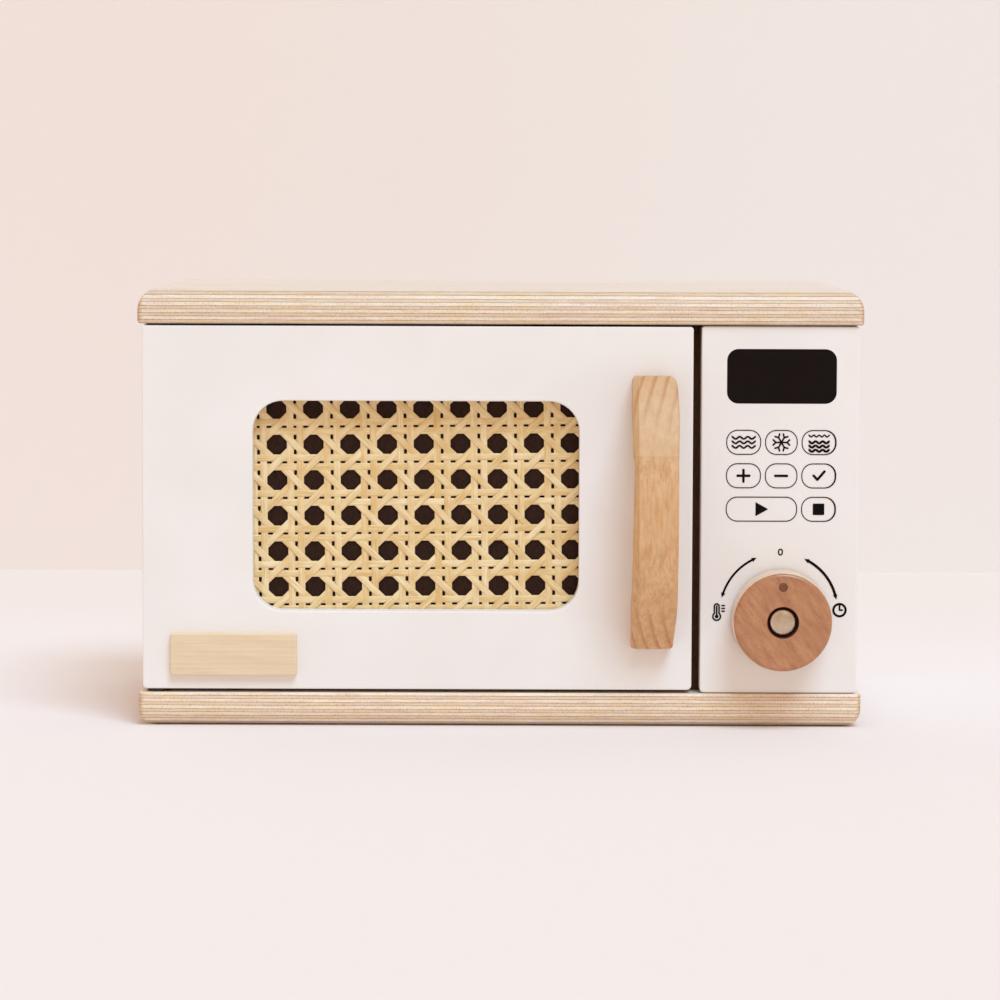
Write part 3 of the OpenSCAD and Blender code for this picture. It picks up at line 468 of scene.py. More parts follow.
def bare_wood(name, pale, dark, ring, spacing, fibre, rings=0.5, streaks=0.5, pores=0.4, **plain):
    """Planed wood: clouds of two tones, growth rings square to a direction, fibres and pores."""
    material, tree, shader = finish(name, **plain)
    coords = add(tree, "TexCoord").outputs["Object"]
    cloud = grain(tree, coords, tuple(f * 2.5 for f in fibre))
    tone = add(tree, "ValToRGB", {0: cloud}, stops=[(0.32, dark), (0.68, pale)])
    line = growth_lines(tree, coords, ring, spacing, 1.0)
    weight = add(tree, "Math", {0: line, 1: rings}, operation="MULTIPLY")
    tone = tone_mix(tree, weight, tone, dark, "MULTIPLY")
    fibres(tree, shader, coords, tone, fibre, streaks, pores)
    return material


white_paint = satin_paint()
brown_stain = dark_stain("brown_stain", "#50331f", "#5e3e28")
back_birch = bare_wood("birch_veneer", "#f0dfc8", "#e2c8a6", (1, 0, 0.2), 22 * mm,
                       (0.5 * mm, 0.5 * mm, 40 * mm), rings=0.25, pores=0.2, Roughness=0.6)
dress(white_paint, "left_wall", "right_wall")
dress(brown_stain, "divider")
dress(back_birch, "back_panel")

# Door
# A 12 mm board, routed out for the window and for the rebate that holds the webbing, painted white.
# Its edges are eased, and the hinge edge is rounded at the back so that it clears the wall as it swings.
door_low, door_high = box_of("door_frame")
handle_low, handle_high = box_of("door_handle")
webbing_low, webbing_high = box_of("cane_webbing")
pin_low, pin_high = box_of("hinge_pins")
strike_low, strike_high = box_of("strike_plate")
upright_axes = [0, 2]
lap = 6.8 * mm
window_low = webbing_low[upright_axes] + lap
window_high = webbing_high[upright_axes] - lap
window_r = 13 * mm
webbing_clearance = 0.2 * mm
rebate_low = webbing_low[upright_axes] - webbing_clearance
rebate_high = webbing_high[upright_axes] + webbing_clearance
rebate_r = 2 * mm
door_corner_r = np.array([1.3, 1.5, 1.9, 2.1]) * mm
door_outlines = [
    (door_low[upright_axes], door_high[upright_axes], door_corner_r),
    (window_low, window_high, window_r),
    (rebate_low, rebate_high, rebate_r),
]
door_face, door_back = door_low[1], door_high[1]
rebate_y = webbing_low[1]
eased = 0.6 * mm
back_eased = 0.5 * mm
side_start = door_face + eased + flat_margin
door_side = [(0, 0, y) for y in np.linspace(side_start, door_back - back_eased, 14)]
door_rows = (
    [(outline, -inset, depth) for outline, inset, depth in edge_round(1, eased, door_face, 1)]
    + edge_round(0, eased, door_face, 1)[::-1]
    + door_side
    + edge_round(0, back_eased, door_back, -1, steps=3)
    + [(2, 0, door_back), (2, 0, rebate_y), (1, 0, rebate_y)]
)
door_grid = loft(door_outlines, door_rows, steps=10)[..., [0, 2, 1]]
# The hinge edge: no point behind the pins lies further from them than the round that they carry
pin_x = (pin_low[0] + pin_high[0]) / 2
pin_y = (pin_low[1] + pin_high[1]) / 2
hinge_r = door_back - pin_y
behind = np.clip(door_grid[..., 1] - pin_y, 0, hinge_r)
round_x = pin_x - np.sqrt(hinge_r ** 2 - behind ** 2)
door_grid[..., 0] = np.maximum(door_grid[..., 0], round_x)



def half_width(low, high):
    """Half of a box's width, which is the radius of a round piece."""
    return (high[0] - low[0]) / 2


handle_middle_x = (handle_low[0] + handle_high[0]) / 2
handle_screw_low, handle_screw_high = box_of("handle_screws")
head_r = screw_head_d / 2 - 0.05 * mm
through_door = 12.5 * mm
door_holes = [
    countersink((handle_middle_x, door_back, z), screw_head_d, screw_shank_d, through_door, "out")
    for z in (handle_screw_low[2] + head_r, handle_screw_high[2] - head_r)
]
strike_r = half_width(strike_low, strike_high) + 0.02 * mm
strike_t = strike_high[1] - strike_low[1]
strike_screw_r = 1.6 * mm
strike_screw_end = 9.3 * mm
strike_pocket = [
    (0, -past_face), (strike_r, -past_face), (strike_r, strike_t),
    (strike_screw_r, strike_t), (strike_screw_r, strike_screw_end), (0, strike_screw_end),
]
strike_back = ((strike_low[0] + strike_high[0]) / 2, door_back, (strike_low[2] + strike_high[2]) / 2)
strike_hole = revolve(strike_pocket, strike_back, "out", 48)
door_holes.append(surface_mesh("cutter", strike_hole, wrap_columns=True))
door = object_from(cut(surface_mesh("door_frame_painted", door_grid, True, True), door_holes), white_paint)
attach(door, "door")
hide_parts("door_frame")
dress(dark_stain("dark_brown_stain", "#271209", "#351c10"), "window_backing")

# Cane webbing
# Split rattan, woven in the six-way pattern: pairs of upright and level strands, and single diagonals
# both ways. It is soaked, laid in the door's rebate, and dries tight between frame and backing.
pitch_x = 15.77 * mm
pitch_z = 15.32 * mm
first_hole = window_low + np.array([10.15, 9.84]) * mm
strand_w = 2.95 * mm
diagonal_w = 2.85 * mm
strand_t = 0.36 * mm
strand_step = 0.9 * mm
shortest_strand = 4 * mm
pair_gap_upright = 1.25 * mm
pair_gap_level = 0.95 * mm
over_pair = 0.2 * mm
over_diagonal = 0.46 * mm
webbing_y = (webbing_low[1] + webbing_high[1]) / 2
webbing_half = (webbing_high - webbing_low)[upright_axes] / 2
webbing_middle = (webbing_high + webbing_low)[upright_axes] / 2
# The weave hangs slightly askew: it leans to the right towards its lower edge and climbs to the right
lean = -0.013
climb = 0.0088
# Round a strand: (share of half the width, share of the thickness), rind side first
strand_section = np.array([
    (-1.0, -0.2), (-0.86, 0.3), (-0.5, 0.5), (0.0, 0.56), (0.5, 0.5), (0.86, 0.3), (1.0, -0.2), (0.0, -0.4)])


def strand(middle, way, width, wave, *details):
    """One strand as a ribbon along a line through a point of the weave: a section carried along the line,
    at the height that a wave gives for the place, which is counted in cells of the weave. It ends where
    the line leaves the webbing, and is left out where that is too short."""
    way = np.array(way) / np.linalg.norm(way)
    meets = np.abs(way) > 1e-9
    slope = np.where(meets, way, 1)
    reach = webbing_half / np.abs(slope)
    offset = (middle - webbing_middle) / slope
    start = np.max((-reach - offset)[meets])
    end = np.min((reach - offset)[meets])
    if end - start < shortest_strand:
        return None
    along = np.linspace(start, end, max(int((end - start) / strand_step), 6))
    line = middle + along[:, None] * way
    cell = (line - first_hole) / [pitch_x, pitch_z]
    height = wave(cell, *details)
    across = np.array([-way[1], way[0]])
    beside = strand_section[None, :, :1] * width / 2
    spread = line[:, None, :] + beside * across
    out = webbing_y - height[:, None] - strand_section[None, :, 1] * strand_t
    askew_x = lean * (spread[..., 1] - webbing_middle[1])
    askew_z = climb * (spread[..., 0] - webbing_middle[0])
    points = np.stack([spread[..., 0] + askew_x, out, spread[..., 1] + askew_z], -1)
    turn = np.linspace(0, 1, len(strand_section))
    unrolled = np.stack(np.broadcast_arrays(along[:, None], turn[None, :] * width), -1)
    return points, unrolled


def pair_wave(cell, axis, sign, half_gap):
    """Up over one strand of a crossing pair and down under the other: a sine of the place between pairs
    along an axis, under a bell curve that leaves it flat midway between them."""
    t = cell[:, axis] - np.floor(cell[:, axis]) - 0.5
    return sign * over_pair * np.sin(pi * t / (2 * half_gap)) * np.exp(-(t / 0.3) ** 2) * 1.2


def diagonal_wave(cell, sign):
    """High over the upright pairs and low under the level ones, or the other way round: a cosine of the
    height in cells, flattened at its tops."""
    height = np.cos(2 * pi * cell[:, 1])
    return sign * over_diagonal * np.tanh(1.8 * height)


beside_x = (strand_w + pair_gap_upright) / 2
beside_z = (strand_w + pair_gap_level) / 2
half_x = beside_x / pitch_x
half_z = beside_z / pitch_z
strands = []
# Columns and rows are counted from the first hole and run past the webbing's edge. What lies outside it
# is left out.
for column in range(-2, 12):
    for side in (-1, 1):
        spot = first_hole + [(column + 0.5) * pitch_x + side * beside_x, 0]
        if abs(spot[0] - webbing_middle[0]) < webbing_half[0] - strand_w / 2:
            strands.append(strand(spot, (0, 1), strand_w, pair_wave, 1, -side, half_z))
for row in range(-2, 9):
    for side in (-1, 1):
        spot = first_hole + [0, (row + 0.5) * pitch_z + side * beside_z]
        if abs(spot[1] - webbing_middle[1]) < webbing_half[1] - strand_w / 2:
            strands.append(strand(spot, (1, 0), strand_w, pair_wave, 0, side, half_x))
for sign in (1, -1):
    for column in range(-14, 22):
        spot = first_hole + [(column + 0.5) * pitch_x, 0]
        strands.append(strand(spot, (pitch_x, -sign * pitch_z), diagonal_w, diagonal_wave, sign))
strands = [made for made in strands if made is not None]

# All strands in one mesh, each with its own shade and its own place in the pattern
chance = np.random.default_rng(7)
points, faces, unrolled, shade = [], [], [], []
base_index = 0
for grid, flat in strands:
    rows, columns = grid.shape[:2]
    index = base_index + np.arange(rows * columns).reshape(rows, columns)
    index = np.hstack([index, index[:, :1]])
    corners = [index[:-1, :-1], index[:-1, 1:], index[1:, 1:], index[1:, :-1]]
    faces.append(np.stack(corners, -1).reshape(-1, 4))
    points.append(grid.reshape(-1, 3))
    unrolled.append(flat.reshape(-1, 2) + chance.random(2))
    shade.append(np.full(rows * columns, chance.random()))
    base_index += rows * columns
webbing_mesh = bpy.data.meshes.new("cane_webbing_woven")
webbing_mesh.from_pydata(np.concatenate(points).tolist(), [], np.concatenate(faces).tolist())
loop_points = np.empty(len(webbing_mesh.loops), int)
webbing_mesh.loops.foreach_get("vertex_index", loop_points)
unrolled_map = webbing_mesh.uv_layers.new(name="along_strand")
unrolled_map.data.foreach_set("uv", np.concatenate(unrolled)[loop_points].astype(np.float32).ravel())
strand_shade = webbing_mesh.attributes.new("strand_shade", "FLOAT", "POINT")
strand_shade.data.foreach_set("value", np.concatenate(shade).astype(np.float32))


def split_cane():
    """The shiny rind of rattan cane: straw yellow, finely ribbed and faintly blotched along its length,
    each strand in its own shade."""
    material, tree, shader = finish("split_cane", Roughness=0.42, IOR=1.5)
    flat = add(tree, "UVMap", uv_map="along_strand")
    fibre = grain(tree, flat.outputs[0], (14 * mm, 0.22 * mm, 1.0))
    cloud = grain(tree, flat.outputs[0], (9 * mm, 2.5 * mm, 1.0), detail=2.0)
    own = add(tree, "Attribute", attribute_name="strand_shade").outputs["Fac"]
    tone = add(tree, "ValToRGB", {0: own}, stops=[(0.0, "#f3d8a4"), (1.0, "#fbe6bd")])
    blotch = add(tree, "ValToRGB", {0: cloud}, stops=[(0.35, "#eeddba"), (0.62, "#ffffff")])
    tone = tone_mix(tree, 0.7, tone, blotch, "MULTIPLY")
    rib = add(tree, "ValToRGB", {0: fibre}, stops=[(0.34, "#e2cda2"), (0.6, "#ffffff")])
    tone = tone_mix(tree, 0.7, tone, rib, "MULTIPLY")
    tone_and_relief(tree, shader, tone, fibre, 0.05 * mm, 0.4)
    return material


webbing = object_from(webbing_mesh, split_cane(), 60)
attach(webbing, "door")
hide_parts("cane_webbing")

# Handle
# Steamed beech, bandsawn to a bow with a finger gap behind it. A wide chamfer runs down the finger side
# and the other edges are sanded round. Two screws from the back of the door hold its feet.
bow_reach = door_face - handle_low[1]
bow_end_t = 7.5 * mm
gap_length = 76 * mm
gap_depth = 21 * mm
handle_half = (handle_high[2] - handle_low[2]) / 2
handle_middle_z = (handle_high[2] + handle_low[2]) / 2
handle_chamfer = np.array([2.2, 2.7]) * mm


def arc_radius(half_chord, rise):
    """The radius of an arc from half its chord and its rise."""
    return (half_chord ** 2 + rise ** 2) / (2 * rise)


def handle_grid():
    """Sections across the bow from foot to foot. Each runs round between the handle's sides, the outer
    arc and, behind it, the door or the inner arc. Its corners are quarter arcs, and the front one on the
    finger side is a flat chamfer. Towards both ends each side is drawn in as a quarter ellipse is, more on
    the panel side and most at the top. The panel side also narrows towards the lower foot."""
    outer_r = arc_radius(handle_half, bow_reach - bow_end_t)
    inner_r = arc_radius(gap_length / 2, gap_depth)
    end_h = 3.3 * mm
    end_z = handle_half - end_h * (1 - np.cos(np.linspace(0, pi / 2, 12)))
    foot_z = np.linspace(handle_half - end_h - 0.3 * mm, gap_length / 2, 12)
    gap_z = gap_length / 2 * np.sin(np.linspace(pi / 2, 0, 26))
    z = np.concatenate([end_z, foot_z, gap_z[1:]])
    z = np.sort(np.concatenate([z, -z[:-1]]))
    from_end = handle_half - np.abs(z)
    # Upper and lower widths and heights of the ellipses, on the panel side, 1, and the finger side, -1
    ellipses = {
        1: ((3.0 * mm, 1.6 * mm), (end_h, 1.8 * mm)),
        -1: ((2.0 * mm, 0.9 * mm), (2.4 * mm, 0.9 * mm)),
    }
    drawn_in = {}
    for side, (widths, heights) in ellipses.items():
        width = np.where(z > 0, *widths)
        height = np.where(z > 0, *heights)
        drawn_in[side] = width * (1 - np.sqrt(1 - np.clip(1 - from_end / height, 0, 1) ** 2))
    # Sanded by hand: millimetres that a side lacks, at millimetres above the lower end
    along = (z + handle_half) / mm
    panel_side_at = [0, 5, 13, 19, 80, 100, 108, 116]
    panel_side_lacks = [1.9, 1.6, 0.9, 0.5, 0.45, 0, 0.2, 0.9]
    drawn_in[1] = drawn_in[1] + mm * np.interp(along, panel_side_at, panel_side_lacks)
    worn = mm * np.interp(along, [48, 64, 79, 84], [0, 0.3, 0.7, 0])
    front = handle_low[1] + outer_r - np.sqrt(outer_r ** 2 - z ** 2) + drawn_in[-1]
    inner = np.sqrt(np.maximum(inner_r ** 2 - z ** 2, 0))
    back = np.minimum(door_face, door_face - gap_depth + inner_r - inner)
    back = np.where(np.abs(z) >= gap_length / 2, door_face, back)
    # The rear edges are nearly crisp at the feet, and rounder behind the bow
    back_r = 0.5 * mm + 1.3 * mm * np.clip((door_face - back) / (5 * mm), 0, 1)
    front_r = 1.1 * mm
    half_w = half_width(handle_low, handle_high)
    finger_size = (handle_chamfer[0] - worn, handle_chamfer[1] - worn)
    quarter = np.linspace(0, pi / 2, 7)
    # Share of the corner's size, across and outwards, along a quarter arc or a chamfer with soft ends
    arc_share = np.stack([np.sin(quarter), np.cos(quarter)])
    flat = np.linspace(0, 1, 7)
    chamfer_share = np.stack([flat, 1 - flat]) + 0.05 * np.sin(pi * flat)
    corners = [
        (1, back, -1, (back_r, back_r), arc_share[::-1]),
        (-1, back, -1, (back_r, back_r), arc_share),
        (-1, front, 1, finger_size, chamfer_share[::-1]),
        (1, front, 1, (front_r, front_r), arc_share),
    ]
    ring_x, ring_y = [], []
    for side, edge, inward, size, (across, outward) in corners:
        width, depth = (np.broadcast_to(part, z.shape)[:, None] for part in size)
        sanded = drawn_in[side] + (worn if side < 0 else 0)
        ring_x.append(handle_middle_x + side * (half_w - sanded[:, None] - width + width * across))
        ring_y.append(edge[:, None] + inward * (depth - depth * outward))
    x = np.concatenate(ring_x, 1)
    y = np.concatenate(ring_y, 1)
    grid = np.stack([x, y, np.broadcast_to(z[:, None] + handle_middle_z, x.shape)], -1)
    low_cap = np.broadcast_to(grid[0].mean(0), grid[:1].shape)
    high_cap = np.broadcast_to(grid[-1].mean(0), grid[:1].shape)
    return np.concatenate([low_cap, grid, high_cap])


def distance_from(tree, place, middle):
    """How far a coordinate lies from a middle, either way."""
    way = add(tree, "Math", {0: place, 1: middle}, operation="SUBTRACT")
    return add(tree, "Math", {0: way}, operation="ABSOLUTE")


def oiled_beech():
    """Beech whose growth lines cross the sawn ends of the bow and fade towards its middle, with short
    dark flecks. The upper third comes from paler wood, glued on at a straight joint."""
    material, tree, shader = finish("oiled_beech", Roughness=0.5, IOR=1.5)
    coords = add(tree, "TexCoord").outputs["Object"]
    place = add(tree, "SeparateXYZ", {0: coords})
    height = place.outputs["Z"]
    mottle = grain(tree, coords, (2.5 * mm, 2.5 * mm, 9 * mm))
    low_stops = [(0.3, "#d3a474"), (0.5, "#dcb080"), (0.7, "#e3b98c")]
    low_tone = add(tree, "ValToRGB", {0: mottle}, stops=low_stops)
    high_tone = add(tree, "ValToRGB", {0: mottle}, stops=[(0.3, "#d4a778"), (0.7, "#deb587")])
    # Warm streaks run up the lower piece
    warm = grain(tree, coords, (0.9 * mm, 0.9 * mm, 22 * mm), detail=2.0)
    warm = add(tree, "ValToRGB", {0: warm}, stops=[(0.38, "#f3c79b"), (0.56, "#ffffff")])
    low_tone = tone_mix(tree, 0.4, low_tone, warm.outputs[0], "MULTIPLY")
    joint_z = 117.8 * mm
    upper = add(tree, "MapRange", {0: height, 1: joint_z - 0.8 * mm, 2: joint_z + 0.8 * mm})
    tone = tone_mix(tree, upper, low_tone, high_tone)
    from_joint = distance_from(tree, height, joint_z)
    seam = add(tree, "MapRange", {0: from_joint, 1: 0.1 * mm, 2: 0.8 * mm, 3: 0.16, 4: 0.0})
    tone = tone_mix(tree, seam, tone, "#a9784c")
    # A thin darker line is drawn along the chamfer's inner edge
    rim_x = handle_low[0] + handle_chamfer[0]
    from_rim = distance_from(tree, place.outputs["X"], rim_x)
    chamfer_line = add(tree, "MapRange", {0: from_rim, 1: 0.1 * mm, 2: 0.5 * mm, 3: 0.4, 4: 0.0})
    tone = tone_mix(tree, chamfer_line, tone, "#c0905f")
    line = growth_lines(tree, coords, (1, -0.45, 0.02), 5.2 * mm, 0.9)
    from_middle = distance_from(tree, height, handle_middle_z)
    shown = add(tree, "MapRange", {0: from_middle, 1: 34 * mm, 2: 54 * mm, 3: 0.04, 4: 0.75})
    weight = add(tree, "Math", {0: line, 1: shown}, operation="MULTIPLY")
    tone = tone_mix(tree, weight, tone, "#d9b08c", "MULTIPLY")
    fibres(tree, shader, coords, tone, (0.7 * mm, 0.7 * mm, 7 * mm), 0.4, 0.18)
    return material


handle_mesh = surface_mesh("door_handle_beech", handle_grid(), wrap_columns=True)
handle = object_from(handle_mesh, oiled_beech(), 25)
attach(handle, "door")
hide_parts("door_handle")

# Plaque
# A thin slip of pale birch, planed flat and eased along its edges. It is glued to the door's lower left
# corner and isn't painted.
plaque_low, plaque_high = box_of("plaque")
plaque_outline = [(plaque_low[upright_axes], plaque_high[upright_axes], 1.2 * mm)]
plaque_half = (plaque_high[2] - plaque_low[2]) / 2
plaque_rows = (
    [(0, plaque_half, plaque_low[1])]
    + edge_round(0, 0.6 * mm, plaque_low[1], 1, steps=5)[::-1]
    + [(0, 0, plaque_high[1]), (0, plaque_half, plaque_high[1])]
)
plaque_birch = bare_wood("pale_birch", "#efd8b8", "#e7cda9", (0.15, 0, 1), 9 * mm,
                         (30 * mm, 0.5 * mm, 0.5 * mm), rings=0.12, streaks=0.25, pores=0.1, Roughness=0.6)
plaque_grid = loft(plaque_outline, plaque_rows)[..., [0, 2, 1]]
plaque = object_from(surface_mesh("plaque_birch_slip", plaque_grid, wrap_columns=True), plaque_birch)
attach(plaque, "door")
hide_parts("plaque")

# Control panel, display and print
# The panel is the same painted board as the door, fixed to the divider and the right wall by dowels.
# A black acrylic plate is let into it flush, and its buttons and arcs are screen printed in black ink.
panel_low, panel_high = box_of("control_panel")
display_low, display_high = box_of("display_plate")
panel_corner_r = np.array([1.3, 1.2, 1.8, 1.4]) * mm
display_gap = 0.03 * mm
recess_r = 4.93 * mm
panel_outlines = [
    (panel_low[upright_axes], panel_high[upright_axes], panel_corner_r),
    (display_low[upright_axes] - display_gap, display_high[upright_axes] + display_gap, recess_r),
]
panel_face, panel_back = panel_low[1], panel_high[1]
panel_half = half_width(panel_low, panel_high)
recess_floor = display_high[1]
display_half = (display_high[2] - display_low[2]) / 2
panel_rows = (
    [(1, display_half, recess_floor), (1, 0, recess_floor), (1, 0, panel_face)]
    + [(1, -flat_margin, panel_face)]
    + edge_round(0, eased, panel_face, 1)[::-1]
    + [(0, 0, panel_back), (0, panel_half, panel_back)]
)
panel_grid = loft(panel_outlines, panel_rows, steps=10)[..., [0, 2, 1]]
panel = object_from(surface_mesh("control_panel_painted", panel_grid, wrap_columns=True), white_paint)
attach(panel, "cabinet")
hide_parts("control_panel")


def speckled(name, low, high, size, **plain):
    """A nearly even finish with a fine speckle of a given size, as ink and moulded plastic have."""
    material, tree, shader = finish(name, **plain)
    coords = add(tree, "TexCoord").outputs["Object"]
    speck = grain(tree, coords, (size, size, size), detail=2.0)
    tone = add(tree, "ValToRGB", {0: speck}, stops=[(0.35, low), (0.65, high)])
    tone_and_relief(tree, shader, tone.outputs[0], speck, 0.01 * mm, 0.3)
    return material


# Cast acrylic with a satin face, brown-black and dull. The ink lies matt and a little rough beside it
acrylic = speckled("black_acrylic", "#0d0403", "#110605", 0.6 * mm, Roughness=0.35, Specular_IOR_Level=0.13)
ink = speckled("black_screen_ink", "#0c0606", "#120a09", 0.3 * mm, Roughness=0.8, Specular_IOR_Level=0.1)
dress(acrylic, "display_plate")
dress(ink, "panel_print")

# Dial
# A knob turned from a round of cherry, so its face is dark end grain and its rim is pale.
# It runs on a steel axle between washers. A nickel cap holds it on, and a dark dot is its pointer.
knob_low, knob_high = box_of("dial_knob")
cap_low, cap_high = box_of("dial_cap")
axle_low, axle_high = box_of("dial_axle")
dot_low, dot_high = box_of("dial_marker")
knob_r = half_width(knob_low, knob_high)
knob_t = knob_high[1] - knob_low[1]
knob_middle = ((knob_low + knob_high) / 2).tolist()
bore_r = half_width(axle_low, axle_high) + 0.05 * mm
hub_r = 6.6 * mm
hub_depth = 4.5 * mm
knob_edge_r = 1.9 * mm


def arc(centre, radius, start, end, steps):
    """Points of (radius, height) along an arc of a profile, between two angles in degrees."""
    angle = np.radians(np.linspace(start, end, steps))
    return [(centre[0] + radius * np.cos(a), centre[1] + radius * np.sin(a)) for a in angle]


hub_lip = 0.25 * mm
knob_back_r = 0.6 * mm
knob_profile = (
    [(bore_r, 0), (knob_r - knob_back_r, 0)]
    + arc((knob_r - knob_back_r, knob_back_r), knob_back_r, -90, 0, 4)
    + [(knob_r, 1 * mm), (knob_r, knob_t - knob_edge_r - flat_margin)]
    + arc((knob_r - knob_edge_r, knob_t - knob_edge_r), knob_edge_r, 0, 90, 9)
    + [(knob_r - knob_edge_r - 0.5 * mm, knob_t), (hub_r + hub_lip + 0.5 * mm, knob_t)]
    + arc((hub_r + hub_lip, knob_t - hub_lip), hub_lip, 90, 180, 4)
    + [(hub_r, knob_t - 1 * mm), (hub_r, knob_t - hub_depth), (bore_r, knob_t - hub_depth)]
)


def back_middle(low, high):
    """The middle of a box's rear side."""
    return ((low[0] + high[0]) / 2, high[1], (low[2] + high[2]) / 2)


def oiled_cherry():
    """Cherry whose end grain has drunk the oil and darkened, while its side stays pale. The pale side tone
    reaches onto the outer part of the front rounding, partly as a painted highlight along the knob's edge,
    and inside the bored hub the wood is drawn dark brown as painted shade. It is polished all over but for
    the bored hub, which stays dull."""
    material, tree, shader = finish("oiled_cherry", IOR=1.5, Coat_Roughness=0.25)
    spot = add(tree, "TexCoord")
    coords = spot.outputs["Object"]
    facing = add(tree, "SeparateXYZ", {0: spot.outputs["Normal"]}).outputs["Y"]
    facing = add(tree, "Math", {0: facing}, operation="ABSOLUTE")
    # Pale out to part of the front rounding: the side's own tone and a painted highlight along the edge
    dark_face_share = add(tree, "MapRange", {0: facing, 1: 0.3, 2: 0.5})
    slant = (0, radians(-38), 0)
    cloud = grain(tree, coords, (2 * mm, 3 * mm, 8 * mm), slant, detail=5.0)
    face = add(tree, "ValToRGB", {0: cloud}, stops=[(0.3, "#a96a42"), (0.7, "#c7895c")])
    rim = add(tree, "ValToRGB", {0: cloud}, stops=[(0.3, "#e6c3a0"), (0.7, "#f0d4b6")])
    line = growth_lines(tree, coords, (1, 0, 0.78), 5.5 * mm, 0.8)
    weight = add(tree, "Math", {0: line, 1: 0.14}, operation="MULTIPLY")
    face = tone_mix(tree, weight, face, "#a06c4a")
    tone = tone_mix(tree, dark_face_share, rim, face)
    # Inside the hub the wood is drawn dark brown: painted shade in the bore
    aside = add(tree, "VectorMath", {0: coords, 1: knob_middle}, operation="SUBTRACT")
    aside = add(tree, "VectorMath", {0: aside, 1: (1, 0, 1)}, operation="MULTIPLY")
    aside = add(tree, "VectorMath", {0: aside}, operation="LENGTH").outputs["Value"]
    bored = add(tree, "MapRange", {0: aside, 1: hub_r + 0.1 * mm, 2: hub_r + 0.3 * mm, 3: 1.0, 4: 0.0})
    tone = tone_mix(tree, bored, tone, "#542a17")
    for socket, polished, raw in (("Coat Weight", 0.7, 0.0), ("Roughness", 0.42, 0.9)):
        gloss = add(tree, "MapRange", {0: bored, 3: polished, 4: raw})
        tree.links.new(gloss.outputs[0], shader.inputs[socket])
    fibres(tree, shader, coords, tone, (0.45 * mm, 2 * mm, 3.5 * mm), 0.35, 0.3, slant)
    return material


knob_grid = revolve(knob_profile, back_middle(knob_low, knob_high), "out", 128)
knob = object_from(surface_mesh("dial_knob_turned", knob_grid, True, True), oiled_cherry(), 40)
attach(knob, "dial")
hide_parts("dial_knob")

dot_r = half_width(dot_low, dot_high)
dot_t = dot_high[1] - dot_low[1]
dot_side = dot_t - 0.05 * mm
dot_edge_r = 0.15 * mm
dot_profile = (
    [(0, 0), (dot_r, 0), (dot_r, dot_side)]
    + arc((dot_r - dot_edge_r, dot_side), dot_edge_r, 0, 80, 3)
    + [(dot_r * 0.5, dot_t + 0.13 * mm), (0, dot_t + 0.15 * mm)]
)
dot_wood = bare_wood("stained_dot", "#824a2a", "#6b3a1c", (1, 0, 0), 3 * mm,
                     (0.3 * mm, 0.3 * mm, 2 * mm), rings=0.2, Roughness=0.6)
dot_grid = revolve(dot_profile, back_middle(dot_low, dot_high), "out", 40)
dot = object_from(surface_mesh("dial_marker_dot", dot_grid, wrap_columns=True), dot_wood)
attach(dot, "dial")
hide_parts("dial_marker")


def metal(name, low, high, size, rim_highlight=None):
    """Plated steel: a clear metal whose polish varies a little with handling. Where a dome that faces the
    front turns away at its rim, it may carry a pale painted highlight."""
    material, tree, shader = finish(name, Metallic=1.0)
    spot = add(tree, "TexCoord")
    smear = grain(tree, spot.outputs["Object"], (size, size, size))
    tone = add(tree, "ValToRGB", {0: smear}, stops=[(0.3, low), (0.7, high)]).outputs[0]
    if rim_highlight:
        # A painted highlight, from where the dome has turned by some 17 degrees
        facing = add(tree, "SeparateXYZ", {0: spot.outputs["Normal"]}).outputs["Y"]
        facing = add(tree, "Math", {0: facing}, operation="ABSOLUTE")
        rim = add(tree, "MapRange", {0: facing, 1: 0.955, 2: 0.925})
        tone = tone_mix(tree, rim, tone, rim_highlight)
    tree.links.new(tone, shader.inputs["Base Color"])
    polish = add(tree, "MapRange", {0: smear, 1: 0.3, 2: 0.7, 3: 0.24, 4: 0.36})
    tree.links.new(polish.outputs[0], shader.inputs["Roughness"])
    return material


cap_r = half_width(cap_low, cap_high)
cap_h = cap_high[1] - cap_low[1]
cap_skirt = 1.2 * mm
cap_wall = 0.6 * mm
cap_arris = 0.2 * mm
cap_edge_r = 0.35 * mm
cap_rise = 0.95 * mm
dome_r = arc_radius(cap_r - cap_edge_r, cap_rise)
dome_from = 90 - np.degrees(np.arcsin((cap_r - cap_edge_r) / dome_r))
cap_edge = (cap_r - cap_edge_r, cap_h - cap_rise - cap_edge_r)
cap_profile = (
    [(bore_r, 0), (cap_r - cap_arris, 0), (cap_r, cap_arris)]
    + arc(cap_edge, cap_edge_r, 0, dome_from - 4, 8)
    + arc((0, cap_h - dome_r), dome_r, dome_from, 90, 14)
    + [(0, cap_h - cap_wall), (bore_r, cap_skirt)]
)
# The cap's rim carries a pale painted highlight.
nickel = metal("satin_nickel", "#c6af97", "#d6c0a9", 2.5 * mm, "#fff3e4")
cap_grid = revolve(cap_profile, back_middle(cap_low, cap_high), "out", 96)
cap = object_from(surface_mesh("dial_cap_domed", cap_grid, True, True), nickel, 50)
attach(cap, "cabinet")
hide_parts("dial_cap")

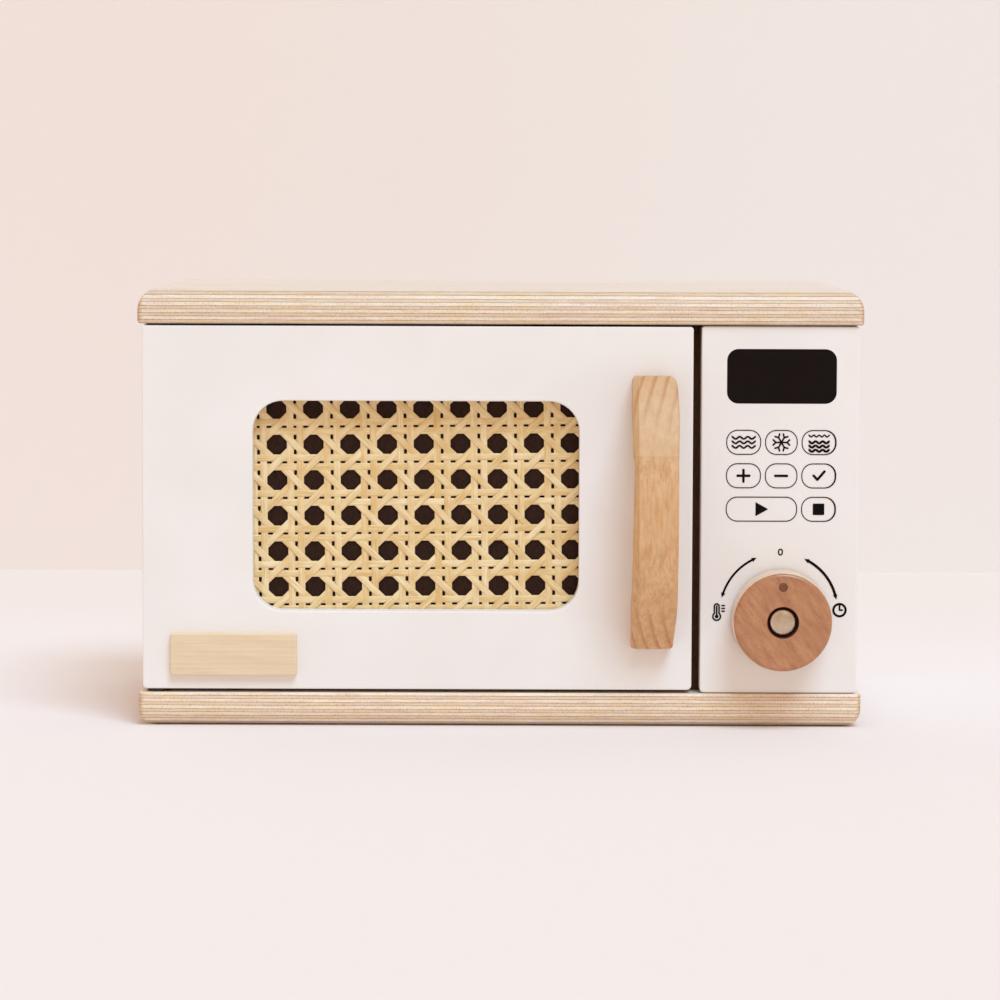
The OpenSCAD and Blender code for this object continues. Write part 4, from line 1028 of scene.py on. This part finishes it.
# Turntable
# A plate turned from beech, with a raised rim and a hole bored up into its underside. It lies loose on a
# steel pin over a nylon washer in the oven's floor.
plate_low, plate_high = box_of("turntable_plate")
plate_r = half_width(plate_low, plate_high)
plate_t = plate_high[2] - plate_low[2]
pivot_low, pivot_high = box_of("turntable_pin")
pivot_r = half_width(pivot_low, pivot_high) + 0.05 * mm
pivot_top = 3.8 * mm
plate_rim_r = plate_r - 5 * mm
plate_hollow = 1 * mm
plate_hollow_r = plate_rim_r - plate_hollow
plate_floor = plate_t - plate_hollow
plate_edge_r = 1.5 * mm
plate_profile = (
    [(pivot_r, 0), (plate_r - plate_edge_r, 0)]
    + arc((plate_r - plate_edge_r, plate_edge_r), plate_edge_r, -90, 0, 6)
    + arc((plate_r - plate_edge_r, plate_t - plate_edge_r), plate_edge_r, 0, 90, 6)
    + [(plate_rim_r, plate_t), (plate_hollow_r, plate_floor), (plate_hollow_r - 0.5 * mm, plate_floor)]
    + [(0, plate_floor), (0, pivot_top), (pivot_r, pivot_top)]
)
plate_beech = bare_wood("turned_beech", "#e3bb90", "#d2a274", (0.2, 1, 0), 7 * mm,
                        (25 * mm, 0.6 * mm, 0.6 * mm), Roughness=0.5)
plate_base = ((plate_low[0] + plate_high[0]) / 2, (plate_low[1] + plate_high[1]) / 2, plate_low[2])
plate_grid = revolve(plate_profile, plate_base, "up", 128)
plate = object_from(surface_mesh("turntable_plate_turned", plate_grid, True, True), plate_beech, 40)
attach(plate, "turntable")
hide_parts("turntable_plate")

# Fittings
# Zinc plated screws and pins, nylon washers, birch dowels, a small birch block that carries the catch
# magnet, and the steel disc in the door that it pulls.
zinc = metal("zinc_plate", "#a9a7a2", "#c3c1bb", 2 * mm)
dress(zinc, "base_screws", "back_screws", "catch_screws", "handle_screws", "strike_screw", "strike_plate",
      "hinge_pins", "dial_axle", "dial_push_nut", "turntable_pin")
dress(metal("nickel_plate", "#c9c4bc", "#dad6cf", 2 * mm), "catch_magnet")
dress(speckled("white_nylon", "#e6e2da", "#efece5", 0.8 * mm, Roughness=0.5, IOR=1.53),
      "dial_washers", "turntable_washer")
dress(speckled("black_nylon", "#2a1c14", "#33241b", 0.8 * mm, Roughness=0.55, IOR=1.53), "hinge_washers")
block_birch = bare_wood("planed_birch", "#ecd5b3", "#dfc29b", (1, 0, 0.3), 5 * mm,
                        (0.4 * mm, 0.4 * mm, 12 * mm), rings=0.3, Roughness=0.6)
dress(block_birch, "catch_block", "top_dowels", "panel_dowels")
